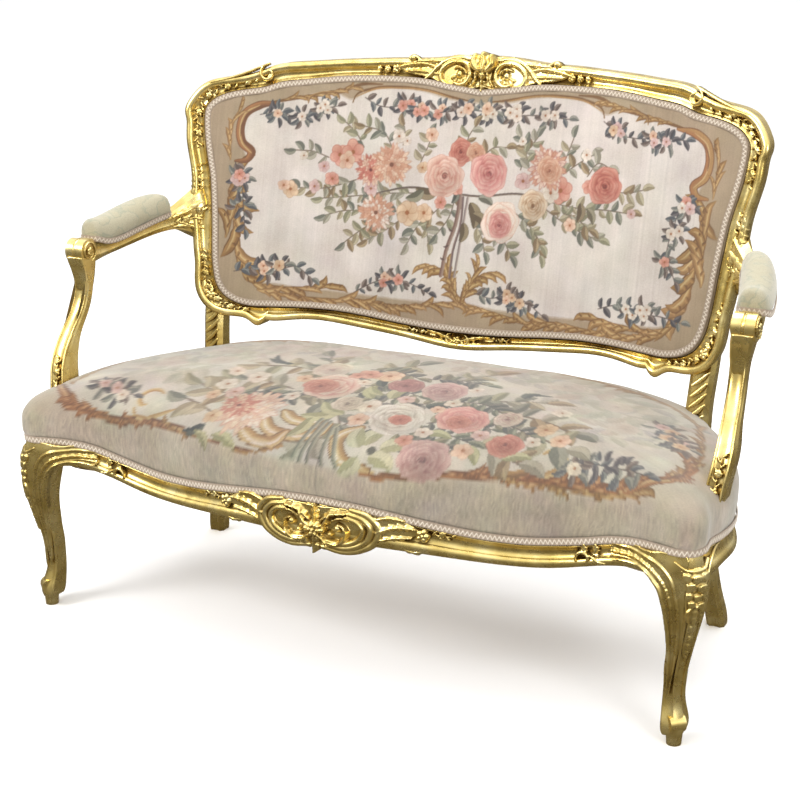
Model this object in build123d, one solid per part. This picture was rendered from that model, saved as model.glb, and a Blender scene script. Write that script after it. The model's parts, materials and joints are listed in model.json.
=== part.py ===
"""Two-seat cabriole settee: carved giltwood frame, tapestry seat and back, padded arms.

The frame is built as a chair maker builds it. The seat frame is four rails tenoned into
the front legs and the rear posts, each rear leg, post and side of the back is one piece,
and the crest rail and the bottom rail close the back. The back leans and is curved in
plan. Millimetres, +Z up, +Y to the back, x = 0 on the line of symmetry, floor at z = 0.
"""
import os
from math import hypot

from build123d import *

# ---------------------------------------------------------------- driving dimensions
FIT = 0.3                    # clearance between pieces that seat on curved faces
MORTISE_FIT = 0.3            # clearance of a tenon in its mortise, on each face
PANEL_FIT = 1.2              # clearance of the back's upholstery inside the bead
CENTRING = -9.95             # moves the whole model in y so that its box is centred

# back: the surface that the frame's face lies on, leaning and bowed in plan
BACK_Y = 214.0               # y of the surface on the centre line at BACK_Z
BACK_Z = 469.0
BACK_RAKE = 0.227            # run back for each unit up
BACK_BOW = 0.345e-3          # ends come forward by this times x squared
BACK_HALF_SPAN = 640.0       # reach of the layers that are cut from the surface

FRAME_DEPTH = 34.0           # back frame, from its face to the rear
FRAME_ROLL = 9.0             # height of the outer roll over the face
FRAME_BEAD = 2.5             # height of the bead beside the upholstery
TACK_STRIP = 15.0            # wood that the upholstery is tacked to, inside the bead
FRONT_REBATE = 7.0           # depth of the rebate for the front upholstery
REAR_REBATE = 5.0            # depth of the rebate for the outside cover

# half of the back frame in front view: (inner x, inner z, outer x, outer z)
CREST_STATIONS = [
    (0, 940, 0, 1003), (60, 947, 62, 1001), (124, 956, 124, 994.5), (180, 958, 180, 993),
    (240, 957.5, 240, 990), (300, 954, 302, 986.5), (370, 946, 374, 981),
    (414, 940, 420, 975.5), (440, 931.5, 446, 966), (474, 926, 479, 955.5),
    (508, 919.5, 515, 950), (530, 911, 550, 942), (544, 900, 572, 925),
    (551, 889, 585, 906),
]
CREST_JOINT = (552.5, 872, 588.5, 872)
STILE_STATIONS = [
    (550, 846, 585.5, 846), (540.5, 795, 576, 795), (531.5, 757, 568, 757),
    (526, 716, 565, 718), (520, 662, 559, 662), (516, 615, 552, 614),
    (511, 580, 546.5, 571), (503, 552, 541, 536), (490, 532, 521, 505),
    (468, 517, 480, 487), (436, 508.5, 438, 482),
]
CORNER_JOINT = (398, 508, 398, 481.5)
BOTTOM_STATIONS = [
    (330, 509.5, 330, 486), (264, 508.5, 263, 485), (197, 503, 195, 477.5),
    (122, 495, 120, 469.5), (60, 490.5, 59, 461.5), (0, 489, 0, 457),
]

# seat rails: outer faces in plan, level of the upholstery line, lower edge
SEAT_TOP = 338.0             # top of the rails, where the webbing is tacked
RAIL_THICKNESS = 32.0
TACK_SETBACK = 10.0          # rebate above the moulding, filled by the cover
FRONT_STATIONS = [           # x, y of the face, upholstery line, lower edge
    (0, -341, 325.5, 262), (50, -340, 324, 261.5), (100, -336, 320, 261),
    (150, -329, 313.5, 260), (200, -320.5, 307, 258.5), (250, -310, 300.5, 256),
    (300, -299.5, 296.5, 254), (350, -289, 295.5, 254), (400, -280.5, 300, 258),
    (450, -276, 308, 268), (500, -278.5, 320, 280), (550, -290.5, 328, 287),
    (574, -299.5, 330, 284),
]
LEG_WING = (606, -304, 331, 258)     # where the front rail's lines run out in the leg
SIDE_STATIONS = [            # y, x of the face, upholstery line, lower edge
    (-248, 646, 331, 277), (-205, 650, 327, 279), (-150, 650, 322, 276),
    (-95, 643, 318, 270), (-40, 627, 317, 267), (20, 601, 318, 266),
    (70, 571, 321, 268), (114, 538, 325, 272),
]
SIDE_WING = (-282, 640, 331, 258)
REAR_RAIL_Y = 124.0          # front face
REAR_RAIL_LOW = 272.0

# front legs: z, outer x, inner x, front y, rear y
LEG_STATIONS = [
    (20, 632, 602, -304, -268), (32, 635, 599, -306, -264), (48, 633, 598, -302, -262),
    (66, 628, 597, -296, -261), (85, 626, 597, -293, -260), (115, 628, 597, -293, -260),
    (150, 634, 599, -296, -262), (185, 642, 601, -303, -263), (220, 650, 601, -310, -262),
    (255, 655, 596, -314, -258), (290, 656, 590, -315, -254), (315, 653, 587, -314, -252),
    (331, 649, 585, -311, -251),
]
LEG_BAND = 0.36              # canted band down the front outer corner, share of the leg's width
LEG_HOLLOW = 0.085           # depth of the hollows in the front and outer faces, share of width
LEG_EDGE = 0.11              # rounding of the other corners, share of width
HOLLOW_LOW = 60.0            # the hollows die out towards the toe below this level
TOE_PAD = (618.0, -286.5, 12.0, 14.0, 24.0)  # x, y, radius at the floor, at the top, height
TOE_SCROLL = (620.0, -291.0, 38.0, 14.5, 27.0)   # x, y, z, radius, length of the rolled toe

# rear posts: z, centre x, centre y, width, depth
POST_STATIONS = [
    (0, 546, 193, 33, 34), (12, 545, 192, 35, 36), (60, 538, 182, 33, 34),
    (130, 527, 165, 36, 38), (200, 516, 151, 41, 42), (262, 508, 142, 45, 46),
    (300, 505, 139, 46, 47), (338, 504, 138, 46, 47), (400, 504, 141, 44, 44),
    (450, 506, 147, 43, 42), (500, 509, 156, 44, 38), (545, 521, 167, 30, 30),
]
POST_HOLLOW = 0.08           # depth of the hollow in the front face, share of the width

# arm supports: z, front y, rear y, centre x, half width
SUPPORT_STATIONS = [
    (330, -229, -141, 632, 16), (350, -222, -147, 633, 16.5), (375, -216, -151, 635, 17),
    (405, -209, -151, 638, 17.5), (440, -199, -145, 643, 18), (475, -181, -136, 645, 17),
    (510, -156, -123, 643, 15.5), (540, -133, -105, 641, 15), (570, -120, -94, 640, 15),
    (600, -117, -87, 641, 16), (622, -119, -82, 643, 17),
]
SUPPORT_HOLLOW = 0.24        # depth of the groove down the front, share of the half width
# arms: y, centre x, half width, underside, top
ARM_STATIONS = [
    (-112, 646, 17, 622, 664), (-96, 646, 17.5, 622, 671), (-76, 645, 17, 624.5, 667),
    (-52, 643, 16.5, 629, 660), (-20, 638, 16, 634, 662), (25, 628, 16, 642, 672),
    (70, 614, 16, 651, 683), (104, 600, 16, 656, 690), (126, 587, 16.5, 656, 698),
    (142, 575, 19, 650, 710), (156, 562, 21, 640, 724), (172, 557, 21, 632, 736),
]
ARM_HOLLOW = 0.12            # depth of the hollows in the arm's sides, share of the half width
SCROLL_RADIUS = 23.0
SCROLL_HALF_WIDTH = 19.0
SCROLL_GROOVE = (3.0, 2.6)   # radius of the groove round the scroll's middle, its depth
SCROLL_Y = -103.0
SCROLL_Z = 649.0
ARM_JOINT_Z = 622.0          # where the arm sits on its support

# arm pads
PAD_FRONT = -74.0
PAD_REAR = 106.0
PAD_HALF_WIDTH = 26.0
PAD_HEIGHT = 43.0
PAD_COVER = 2.0              # thickness of the cover
ARM_GIMP = (9.0, 1.6)        # height, thickness

# seat upholstery: its outline round the front and rear corners, and along the rear
FRONT_CORNER = [(585, -304.5), (615, -312), (638, -305), (648, -284)]
REAR_CORNER = [(538, 114), (524, 142), (502, 161)]
SEAT_BACK_X = (470, 420, 280, 140, 0)
# height of a level, how far it is set in at front, rear and sides
SEAT_SWELL = [
    (296, 1, 1, 1), (330, -3, -2, -3), (360, -6, -3, -5), (384, -4, -3, -4), (402, 7, 0, 5),
    (416, 26, 3, 24), (430, 58, 8, 66), (444, 104, 16, 140), (456, 165, 28, 240),
    (465, 235, 48, 350), (469, 290, 80, 450),
]
SEAT_CROWN_Y = 20.0          # the seat is fullest here
SEAT_BACK_Y = REAR_RAIL_Y + RAIL_THICKNESS + TACK_SETBACK
COVER_THICKNESS = 3.0
HESSIAN_THICKNESS = 1.2
WEB_THICKNESS = 1.5
WEB_WIDTH = 55.0
SEAT_WEB_COUNT = 8           # straps from front to rear
SEAT_WEB_SPACING = 126.0
SEAT_WEB_LONG = (-225, -133, -41, 51)    # front edges of the straps from side to side
SEAT_GIMP = (11.0, 1.8)      # height, thickness
CLOTH_UNDER = 1.2            # cloth that closes the underside

# back upholstery
PANEL_CROWN = 13.0           # how much fuller the back is at the centre
PANEL_EDGE = 2.0             # how far it stands over the frame's face at the sides
BACK_GIMP = (11.0, 2.0)      # width, thickness
OUTSIDE_COVER = 2.5
BACK_WEB_LEVEL = (590, 700, 810)         # lower edges of the level straps
BACK_WEB_UPRIGHT = (-360, -180, 0, 180, 360)     # centre lines of the upright straps

# joinery
TENON = (28.0, 30.0, 10.0)   # length, height, thickness of the rails' tenons
SMALL_TENON = (16.0, 12.0, 8.0)
SUPPORT_TENON = (26.0, 44.0, 10.0)
FRONT_TENON_IN = 19.0        # from the rail's face to the middle of its tenon
SIDE_TENON_IN = (26.0, 21.0) # the same for the side rail, at its front and its rear
PEG_RADIUS = 3.0
PEG_LENGTH = 34.0
PEG_IN = (26.0, 34.0)        # from the face to the middle of the front and the rear peg
BLOCK_LEG = 46.0             # rear corner blocks: length along each rail
BLOCK_LOW = 286.0
BLOCK_HEIGHT = 30.0
FRONT_BLOCK = [(524, -250), (572.5, -262.5), (572.5, -247.4), (612.5, -247.4), (616.5, -197)]
FRONT_SCREW = (546, -236, 180)   # x, y of the head, turn of the shank
SCREW_RADIUS = 2.2
SCREW_HEAD = 4.2             # radius of the head
SCREW_HEAD_HEIGHT = 3.0
SCREW_LENGTH = 36.0
BAR_WIDTH = 40.0             # centre cross bar
BAR_HEIGHT = 26.0


# ---------------------------------------------------------------- shared shapes
def between(stations, at, column):
    """Value of a column at a place, on a smooth curve through the stations."""
    rows = sorted(stations)
    slopes = []
    for i, row in enumerate(rows):
        low = rows[max(i - 1, 0)]
        high = rows[min(i + 1, len(rows) - 1)]
        slopes.append((high[column] - low[column]) / (high[0] - low[0]))
    at = min(max(at, rows[0][0]), rows[-1][0])
    i = max(k for k in range(len(rows) - 1) if rows[k][0] <= at)
    span = rows[i + 1][0] - rows[i][0]
    t = (at - rows[i][0]) / span
    start = rows[i][column] * (1 + 2 * t) * (1 - t) ** 2 + span * slopes[i] * t * (1 - t) ** 2
    end = rows[i + 1][column] * t * t * (3 - 2 * t) - span * slopes[i + 1] * t * t * (1 - t)
    return start + end


def back_y(x, z):
    """y of the back's surface."""
    return BACK_Y + BACK_RAKE * (z - BACK_Z) - BACK_BOW * x * x


def mirrored(stations):
    """A half row of (x..., z...) stations made whole about the centre line."""
    left = [tuple(-v if i % 2 == 0 else v for i, v in enumerate(row)) for row in stations]
    return left[:0:-1] + list(stations)


def ring(points, arcs=()):
    """Closed wire through 3-D points; a point whose index is in arcs bulges an arc."""
    edges = []
    count = len(points)
    i = 0
    while i < count:
        if (i + 1) % count in arcs:
            edges.append(Edge.make_three_point_arc(points[i], points[i + 1], points[(i + 2) % count]))
            i += 2
        else:
            edges.append(Edge.make_line(points[i], points[(i + 1) % count]))
            i += 1
    return Wire(edges)


def lofted(wires, ruled=False):
    return Solid.make_loft(wires, ruled)


def other_side(shape):
    return shape.mirror(Plane.YZ)


def box_between(low, high):
    size = [high[i] - low[i] for i in range(3)]
    return Pos(*[(low[i] + high[i]) / 2 for i in range(3)]) * Box(*size)


def smooth_outline(points):
    """Closed face in plan or in front view from the right half's points."""
    half = [Vector(*p) for p in points]
    other = [Vector(-p[0], *p[1:]) for p in points]
    right = Edge.make_spline(half, tangents=[Vector(1, 0, 0), Vector(-1, 0, 0)])
    left = Edge.make_spline(other, tangents=[Vector(-1, 0, 0), Vector(1, 0, 0)])
    return Wire([right, left])


def moved_in(points, distance):
    """A half outline, from its top or front centre round to the other, set in by a distance."""
    out = []
    for i, (a, b) in enumerate(points):
        before = points[i - 1] if i else (-points[1][0], points[1][1])
        after = points[i + 1] if i + 1 < len(points) else (-points[-2][0], points[-2][1])
        run, rise = after[0] - before[0], after[1] - before[1]
        long = hypot(run, rise)
        out.append((a + distance * rise / long, b - distance * run / long))
    return out


# ---------------------------------------------------------------- back: layers and outline
def back_layer(front, rear, crown=0.0):
    """Everything between two distances in front of the back's surface."""
    low, high = BACK_Z - 80, BACK_Z + 620

    def plan_curve(offset, fuller):
        reach = BACK_HALF_SPAN
        edge = back_y(reach, low) - offset
        middle = back_y(0, low) - offset - fuller
        points = [(-reach, edge, low), (0, 2 * middle - edge, low), (reach, edge, low)]
        return Edge.make_bezier(*points)

    near, far = plan_curve(front, crown), plan_curve(rear, 0)
    sides = [Edge.make_line(near @ 0, far @ 0), Edge.make_line(near @ 1, far @ 1)]
    lean = Vector(0, BACK_RAKE, 1) * (high - low)
    return Solid.extrude(Face(Wire([near, far] + sides)), lean)


def panel_outline():
    rows = CREST_STATIONS + [CREST_JOINT] + STILE_STATIONS + [CORNER_JOINT] + BOTTOM_STATIONS
    return [(row[0], row[1]) for row in rows]


def panel_prism(inset):
    """Column through the back, along y, of the upholstery's outline set in by a distance."""
    points = [(x, 0, z) for x, z in moved_in(panel_outline(), inset)]
    face = Face(smooth_outline(points))
    return Pos(0, -50, 0) * Solid.extrude(face, Vector(0, 600, 0))


def frame_section(station):
    """Moulded section of the back frame: bead, cove and outer roll."""
    xi, zi, xo, zo = station
    width = hypot(xo - xi, zo - zi)
    dx, dz = (xo - xi) / width, (zo - zi) / width
    rear_bed = REAR_REBATE - FRAME_DEPTH
    profile = [
        (-TACK_STRIP, rear_bed), (-TACK_STRIP, -FRONT_REBATE), (0, -FRONT_REBATE), (0, 0),
        (2.5, FRAME_BEAD), (5.5, 0), (0.36 * width, -2.5), (width - 15, 3.5),
        (width - 7, FRAME_ROLL), (width, 0), (width, 8 - FRAME_DEPTH),
        (width - 7, -FRAME_DEPTH), (0, -FRAME_DEPTH), (0, rear_bed),
    ]
    points = []
    for across, proud in profile:
        x, z = xi + dx * across, zi + dz * across
        points.append(Vector(x, back_y(x, z) - proud, z))
    return ring(points, arcs=(6, 8))


def frame_member(stations):
    return lofted([frame_section(row) for row in stations])


def joint_tenon(station, size, along):
    """Tenon that stands out of a frame member at a joint, along a direction."""
    xi, zi, xo, zo = station
    length, height, thickness = size
    x, z = (xi + xo) / 2, (zi + zo) / 2
    y = back_y(x, z) + FRAME_DEPTH / 2
    block = Pos(length / 2, 0, 0) * Box(length, thickness, height)
    return Pos(x, y, z) * Rot(0, -along, 0) * block


def grown(size, by):
    return tuple(v + 2 * by for v in size)


# ---------------------------------------------------------------- pieces of the back
def crest_rail():
    stations = mirrored(CREST_STATIONS + [CREST_JOINT])
    rail = frame_member(stations)
    for side in (1, -1):
        xi, zi, xo, zo = CREST_JOINT
        mortise = joint_tenon((side * xi, zi, side * xo, zo), grown(SMALL_TENON, MORTISE_FIT), 90)
        rail = rail - mortise
    return rail


def rear_post():
    """Stile, bottom corner of the back and rear leg, worked from one plank."""
    stile = frame_member([CREST_JOINT] + STILE_STATIONS + [CORNER_JOINT])
    leg = lofted([post_section(*row) for row in POST_STATIONS])
    post = stile.fuse(leg)
    post = post.fuse(joint_tenon(CREST_JOINT, SMALL_TENON, 90))
    post = post - joint_tenon(CORNER_JOINT, grown(SMALL_TENON, MORTISE_FIT), 0)
    return post - side_rear_tenon(MORTISE_FIT) - rear_tenon(MORTISE_FIT) - rear_peg(MORTISE_FIT)


def post_section(z, x, y, width, depth):
    """Section of the rear leg: rounded square with a hollow front face."""
    w, d, c = width / 2, depth / 2, min(width, depth) * 0.2
    points = [
        (x - w, y + d - c), (x - w, y - d + c), (x - w + c, y - d), (x, y - d + POST_HOLLOW * width),
        (x + w - c, y - d), (x + w, y - d + c), (x + w, y + d - c), (x + w - c, y + d),
        (x - w + c, y + d),
    ]
    return ring([Vector(a, b, z) for a, b in points], arcs=(3,))


def back_bottom_rail():
    stations = mirrored(([CORNER_JOINT] + BOTTOM_STATIONS)[::-1])
    rail = frame_member(stations)
    tenon = joint_tenon(CORNER_JOINT, SMALL_TENON, 0)
    return rail.fuse(tenon).fuse(other_side(tenon))


def bed_level(layers):
    """Distance in front of the back's surface of what lies on so many layers of webbing."""
    return FIT - FRONT_REBATE + layers * (WEB_THICKNESS + FIT)


def back_webbing(level):
    """Straps on the front rebate: the level ones lie over the upright ones."""
    bed = bed_level(1 if level else 0)
    layer = back_layer(bed + WEB_THICKNESS, bed) & panel_prism(PANEL_FIT + FIT)
    straps = []
    if level:
        for z in BACK_WEB_LEVEL:
            straps.append(layer & box_between((-700, 0, z), (700, 500, z + WEB_WIDTH)))
    else:
        for x in BACK_WEB_UPRIGHT:
            low, high = (x - WEB_WIDTH / 2, 0, 300), (x + WEB_WIDTH / 2, 500, 1100)
            straps.append(layer & box_between(low, high))
    return Compound(children=straps)


def back_stuffing():
    hidden = COVER_THICKNESS + FIT
    layer = back_layer(PANEL_EDGE - hidden, bed_level(2), PANEL_CROWN)
    return layer & panel_prism(PANEL_FIT + hidden)


def back_front_cover():
    skin = back_layer(PANEL_EDGE, bed_level(2), PANEL_CROWN) & panel_prism(PANEL_FIT)
    hollow = back_layer(PANEL_EDGE - COVER_THICKNESS, bed_level(-1), PANEL_CROWN)
    return skin - (hollow & panel_prism(PANEL_FIT + COVER_THICKNESS))


def back_gimp():
    width, thickness = BACK_GIMP
    face = PANEL_EDGE + FIT
    band = back_layer(face + thickness, face - 40, PANEL_CROWN)
    band = band - back_layer(face, face - 60, PANEL_CROWN)
    return (band & panel_prism(PANEL_FIT)) - panel_prism(PANEL_FIT + width)


def back_outside_cover():
    rear = REAR_REBATE - FRAME_DEPTH - FIT
    return back_layer(rear, rear - OUTSIDE_COVER) & panel_prism(PANEL_FIT)


def back_outside_gimp():
    width, thickness = BACK_GIMP
    rear = REAR_REBATE - FRAME_DEPTH - 2 * FIT - OUTSIDE_COVER
    band = back_layer(rear, rear - thickness) & panel_prism(PANEL_FIT)
    return band - panel_prism(PANEL_FIT + width)


# ---------------------------------------------------------------- seat outline in plan
def seat_outline():
    """Right half of the rails' outer line, from the front centre to the rear centre."""
    front = [(row[0], row[1]) for row in FRONT_STATIONS[:-1]]
    side = [(row[1], row[0]) for row in SIDE_STATIONS[:-1]]
    across = [(x, SEAT_BACK_Y) for x in SEAT_BACK_X]
    return front + FRONT_CORNER + side + REAR_CORNER + across


def seat_face(points, z):
    return smooth_outline([(x, y, z) for x, y in points])


def seat_level(z, at_front, at_rear, at_side, skin=0.0):
    """Level outline of the upholstery, drawn in towards the fullest place of the seat."""
    half = seat_outline()
    reach = max(x for x, y in half)
    side = 1 - (at_side + skin) / reach
    front = 1 - (at_front + skin) / (SEAT_CROWN_Y - half[0][1])
    rear = 1 - (at_rear + skin) / (half[-1][1] - SEAT_CROWN_Y)
    points = []
    for x, y in half:
        run = y - SEAT_CROWN_Y
        points.append((x * side, SEAT_CROWN_Y + run * (front if run < 0 else rear)))
    return seat_face(points, z - skin)


def seat_column(inset, low, high):
    face = Face(seat_face(moved_in(seat_outline(), -inset), low))
    return Solid.extrude(face, Vector(0, 0, high - low))


def below_upholstery_line(raise_by=0.0):
    """Everything under the line where the fabric ends on the front and side rails."""
    line = [(row[0], row[2] + raise_by) for row in FRONT_STATIONS]
    line = line + [(LEG_WING[0], LEG_WING[2] + raise_by), (700, LEG_WING[2] + raise_by)]
    right = [Vector(x, -400, z) for x, z in line]
    left = [Vector(-v.X, v.Y, v.Z) for v in right]
    top = Edge.make_spline(left[:0:-1] + right)
    foot = [Vector(700, -400, 200), Vector(-700, -400, 200)]
    lines = [Edge.make_line(right[-1], foot[0]), Edge.make_line(*foot), Edge.make_line(foot[1], left[-1])]
    front = Solid.extrude(Face(Wire([top] + lines)), Vector(0, 400 + SIDE_STATIONS[0][0], 0))
    start, end = SIDE_STATIONS[0][0], 260
    line = [(row[0], row[2] + raise_by) for row in SIDE_STATIONS] + [(end, SIDE_STATIONS[-1][2] + raise_by)]
    points = [Vector(-720, y, z) for y, z in line]
    top = Edge.make_spline(points)
    foot = [Vector(-720, end, 200), Vector(-720, start, 200)]
    lines = [Edge.make_line(points[-1], foot[0]), Edge.make_line(*foot), Edge.make_line(foot[1], points[0])]
    return front.fuse(Solid.extrude(Face(Wire([top] + lines)), Vector(1440, 0, 0)))


# ---------------------------------------------------------------- pieces of the seat frame
def rail_section(place, face, line, low, along_front):
    """Moulded section of a seat rail: bead, cove and lower roll on the outer face."""
    drop = line - low
    profile = [
        (RAIL_THICKNESS, SEAT_TOP), (TACK_SETBACK, SEAT_TOP), (TACK_SETBACK, line),
        (0, line), (-2.5, line - 3), (0, line - 6), (4.5, line - 0.36 * drop), (0, low + 0.42 * drop),
        (-6.5, low + 0.24 * drop), (-3, low + 2), (5, low), (RAIL_THICKNESS, low + 4),
    ]
    points = []
    for depth, z in profile:
        if along_front:
            points.append(Vector(place, face + depth, z))
        else:
            points.append(Vector(face - depth, place, z))
    return ring(points, arcs=(6, 8))


def rail_tenon(x, y, z, along, size):
    length, height, thickness = size
    block = Pos(length / 2, 0, 0) * Box(length, thickness, height)
    return Pos(x, y, z) * Rot(0, 0, along) * block


def front_tenon(fit=0.0):
    x, y, line, low = FRONT_STATIONS[-1]
    return rail_tenon(x, y + FRONT_TENON_IN, (line + low) / 2, 0, grown(TENON, fit))


def side_front_tenon(fit=0.0):
    y, x, line, low = SIDE_STATIONS[0]
    return rail_tenon(x - SIDE_TENON_IN[0], y, (line + low) / 2, -90, grown(SMALL_TENON, fit))


def side_rear_tenon(fit=0.0):
    y, x, line, low = SIDE_STATIONS[-1]
    return rail_tenon(x - SIDE_TENON_IN[1], y, (line + low) / 2, 90, grown(SMALL_TENON, fit))


def rear_tenon(fit=0.0):
    z = (REAR_RAIL_LOW + SEAT_TOP) / 2
    return rail_tenon(rear_reach(), REAR_RAIL_Y + RAIL_THICKNESS / 2, z, 0, grown(SMALL_TENON, fit))


def rear_reach():
    """Half length of the rear rail between the posts."""
    z, x, y, width, depth = POST_STATIONS[7]
    return x - width / 2 - FIT


def front_peg(fit=0.0):
    """Peg that locks the front rail's tenon, driven from inside the leg."""
    x, y, line, low = FRONT_STATIONS[-1]
    peg = Rot(90, 0, 0) * Cylinder(PEG_RADIUS + fit, PEG_LENGTH)
    return Pos(x + TENON[0] / 2, y + PEG_IN[0], (line + low) / 2) * peg


def rear_peg(fit=0.0):
    """Peg that locks the side rail's rear tenon in the post."""
    y, x, line, low = SIDE_STATIONS[-1]
    peg = Rot(0, 90, 0) * Cylinder(PEG_RADIUS + fit, PEG_LENGTH)
    return Pos(x - PEG_IN[1], y + SMALL_TENON[0] / 2, (line + low) / 2) * peg


def tenon_pegs():
    pegs = [front_peg(), other_side(front_peg()), rear_peg(), other_side(rear_peg())]
    return Compound(children=pegs)


def front_rail():
    rows = [(-x, y, line, low) for x, y, line, low in FRONT_STATIONS[:0:-1]] + FRONT_STATIONS
    rail = lofted([rail_section(*row, True) for row in rows])
    tenon = front_tenon() - front_peg(MORTISE_FIT)
    rail = rail.fuse(tenon).fuse(other_side(tenon))
    for screw in front_screws(MORTISE_FIT):
        rail = rail - screw
    return rail


def front_leg():
    """Cabriole leg with its knee, shaped to receive the rails' mouldings."""
    leg = lofted([leg_section(*row) for row in LEG_STATIONS])
    front = lofted([rail_section(*row, True) for row in (FRONT_STATIONS[-1], LEG_WING)])
    side = lofted([rail_section(*row, False) for row in (SIDE_WING, SIDE_STATIONS[0])])
    knee_top = LEG_STATIONS[-1][0]
    inset = TACK_SETBACK + 3
    low = (FRONT_STATIONS[-1][0], FRONT_STATIONS[-1][1] + inset, knee_top - 12)
    block = box_between(low, (SIDE_STATIONS[0][1] - inset, SIDE_STATIONS[0][0], SEAT_TOP))
    leg = leg.fuse(front).fuse(side).fuse(block).fuse(leg_toe())
    return leg - front_tenon(MORTISE_FIT) - side_front_tenon(MORTISE_FIT) - front_peg(MORTISE_FIT)


def leg_section(z, outer, inner, front, rear):
    """Section with hollow front and outer faces, and a canted band at the corner between them."""
    width = min(outer - inner, rear - front)
    band, edge = LEG_BAND * width, LEG_EDGE * width
    hollow = LEG_HOLLOW * width * min(max((z - LEG_STATIONS[0][0]) / HOLLOW_LOW, 0.1), 1)
    bulge, corner = 0.42 * band, 0.29 * edge
    points = [
        (inner, rear - edge), (inner, front + edge), (inner + corner, front + corner),
        (inner + edge, front), ((inner + edge + outer - band) / 2, front + hollow),
        (outer - band, front), (outer - bulge, front + bulge), (outer, front + band),
        (outer - hollow, (front + band + rear - edge) / 2), (outer, rear - edge),
        (outer - corner, rear - corner), (outer - edge, rear), (inner + edge, rear),
        (inner + corner, rear - corner),
    ]
    return ring([Vector(x, y, z) for x, y in points], arcs=(2, 4, 6, 8, 10, 13))


def leg_toe():
    """Rolled toe on its pad, turned to face out along the leg's diagonal."""
    x, y, low, high, height = TOE_PAD
    pad = Pos(x, y, height / 2) * Cone(low, high, height)
    x, y, z, radius, length = TOE_SCROLL
    scroll = Pos(x, y, z) * Rot(0, 0, 45) * Rot(0, 90, 0) * Cylinder(radius, length)
    return pad.fuse(scroll)


def side_rail():
    rail = lofted([rail_section(*row, False) for row in SIDE_STATIONS]) - support_seat()
    rail = rail.fuse(side_front_tenon()).fuse(side_rear_tenon() - rear_peg(MORTISE_FIT))
    return rail - support_tenon(MORTISE_FIT)


def rear_rail():
    reach = rear_reach()
    low = (-reach, REAR_RAIL_Y, REAR_RAIL_LOW)
    rail = box_between(low, (reach, REAR_RAIL_Y + RAIL_THICKNESS, SEAT_TOP))
    rail = rail.fuse(rear_tenon()).fuse(other_side(rear_tenon()))
    for screw in rear_screws(MORTISE_FIT):
        rail = rail - screw
    return rail


def support_section(z, front, rear, x, half):
    """Section of an arm support: flat sides, a groove between two ridges down the front."""
    c = (rear - front) * 0.25
    points = [
        (x - half, rear - c), (x - half, front + c), (x - half * 0.72, front),
        (x, front + SUPPORT_HOLLOW * half), (x + half * 0.72, front), (x + half, front + c),
        (x + half, rear - c), (x + half * 0.5, rear), (x - half * 0.5, rear),
    ]
    return ring([Vector(a, b, z) for a, b in points], arcs=(3,))


def support_tenon(fit=0.0):
    z, front, rear, x, half = SUPPORT_STATIONS[0]
    length, height, thickness = grown(SUPPORT_TENON, fit)
    block = Box(thickness, height, length)
    return Pos(x - 3, (front + rear) / 2, z) * block


def arm_support():
    support = lofted([support_section(*row) for row in SUPPORT_STATIONS])
    return support.fuse(support_tenon())


def support_seat(fit=0.0):
    """Space in the side rail and the upholstery that the foot of the support takes."""
    z, front, rear, x, half = SUPPORT_STATIONS[0]
    low = (x - half - fit, front - fit, z - fit)
    return box_between(low, (x + 90, rear + fit, SEAT_SWELL[-1][0] + 50))


def arm_section(y, x, half, low, high):
    """Section of an arm: flat under, hollow sides between two beads, eased over the top."""
    c = (high - low) * 0.3
    side = half - ARM_HOLLOW * half
    points = [
        (x - half, low + c), (x - half * 0.7, low), (x + half * 0.7, low), (x + half, low + c),
        (x + side, (low + high) / 2), (x + half, high - c), (x + half * 0.6, high),
        (x - half * 0.6, high), (x - half, high - c), (x - side, (low + high) / 2),
    ]
    return ring([Vector(a, y, z) for a, z in points], arcs=(4, 9))


def arm_body():
    body = lofted([arm_section(*row) for row in ARM_STATIONS])
    groove, depth = SCROLL_GROOVE
    scroll = Cylinder(SCROLL_RADIUS, 2 * SCROLL_HALF_WIDTH) - Torus(SCROLL_RADIUS + groove - depth, groove)
    scroll = Pos(ARM_STATIONS[0][1], SCROLL_Y, SCROLL_Z) * Rot(0, 90, 0) * scroll
    above = box_between((500, -300, ARM_JOINT_Z), (760, 300, 900))
    return (body.fuse(scroll)) & above


def arm():
    return arm_body() - right_stile()


def right_stile():
    return frame_member([CREST_JOINT] + STILE_STATIONS + [CORNER_JOINT])


def pad_rows(skin, rise):
    """Sections of the arm pad along the arm, rounded down at both ends."""
    steps = [(0.0, 0.55, 0.35), (0.05, 0.86, 0.78), (0.2, 1.0, 1.0), (0.5, 1.0, 1.0),
             (0.8, 1.0, 1.0), (0.95, 0.86, 0.78), (1.0, 0.55, 0.35)]
    rows = []
    for share, wide, tall in steps:
        station = PAD_FRONT + (PAD_REAR - PAD_FRONT) * share
        y = station + skin * (1 - 2 * share)
        x = between(ARM_STATIONS, station, 1)
        bed = between(ARM_STATIONS, station, 4)
        middle = bed + PAD_HEIGHT * tall * 0.45
        rows.append((y, x, PAD_HALF_WIDTH * wide - skin, bed, rise, middle, bed + PAD_HEIGHT * tall - skin))
    return rows


def pad_section(y, x, half, bed, rise, middle, high):
    """Section of the pad: sides that lean in a little, then a round top."""
    lean = 0.04 * half / (middle - bed)
    low = half - rise * lean
    shoulder = half - (middle - bed) * lean
    points = [Vector(x - low, y, bed + rise), Vector(x - shoulder, y, middle)]
    top = [Vector(x, y, high), Vector(x + shoulder, y, middle)]
    last = Vector(x + low, y, bed + rise)
    edges = [Edge.make_line(points[0], points[1]), Edge.make_three_point_arc(points[1], top[0], top[1])]
    return Wire(edges + [Edge.make_line(top[1], last), Edge.make_line(last, points[0])])


def pad_shape(skin, rise):
    return lofted([pad_section(*row) for row in pad_rows(skin, rise)])


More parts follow.
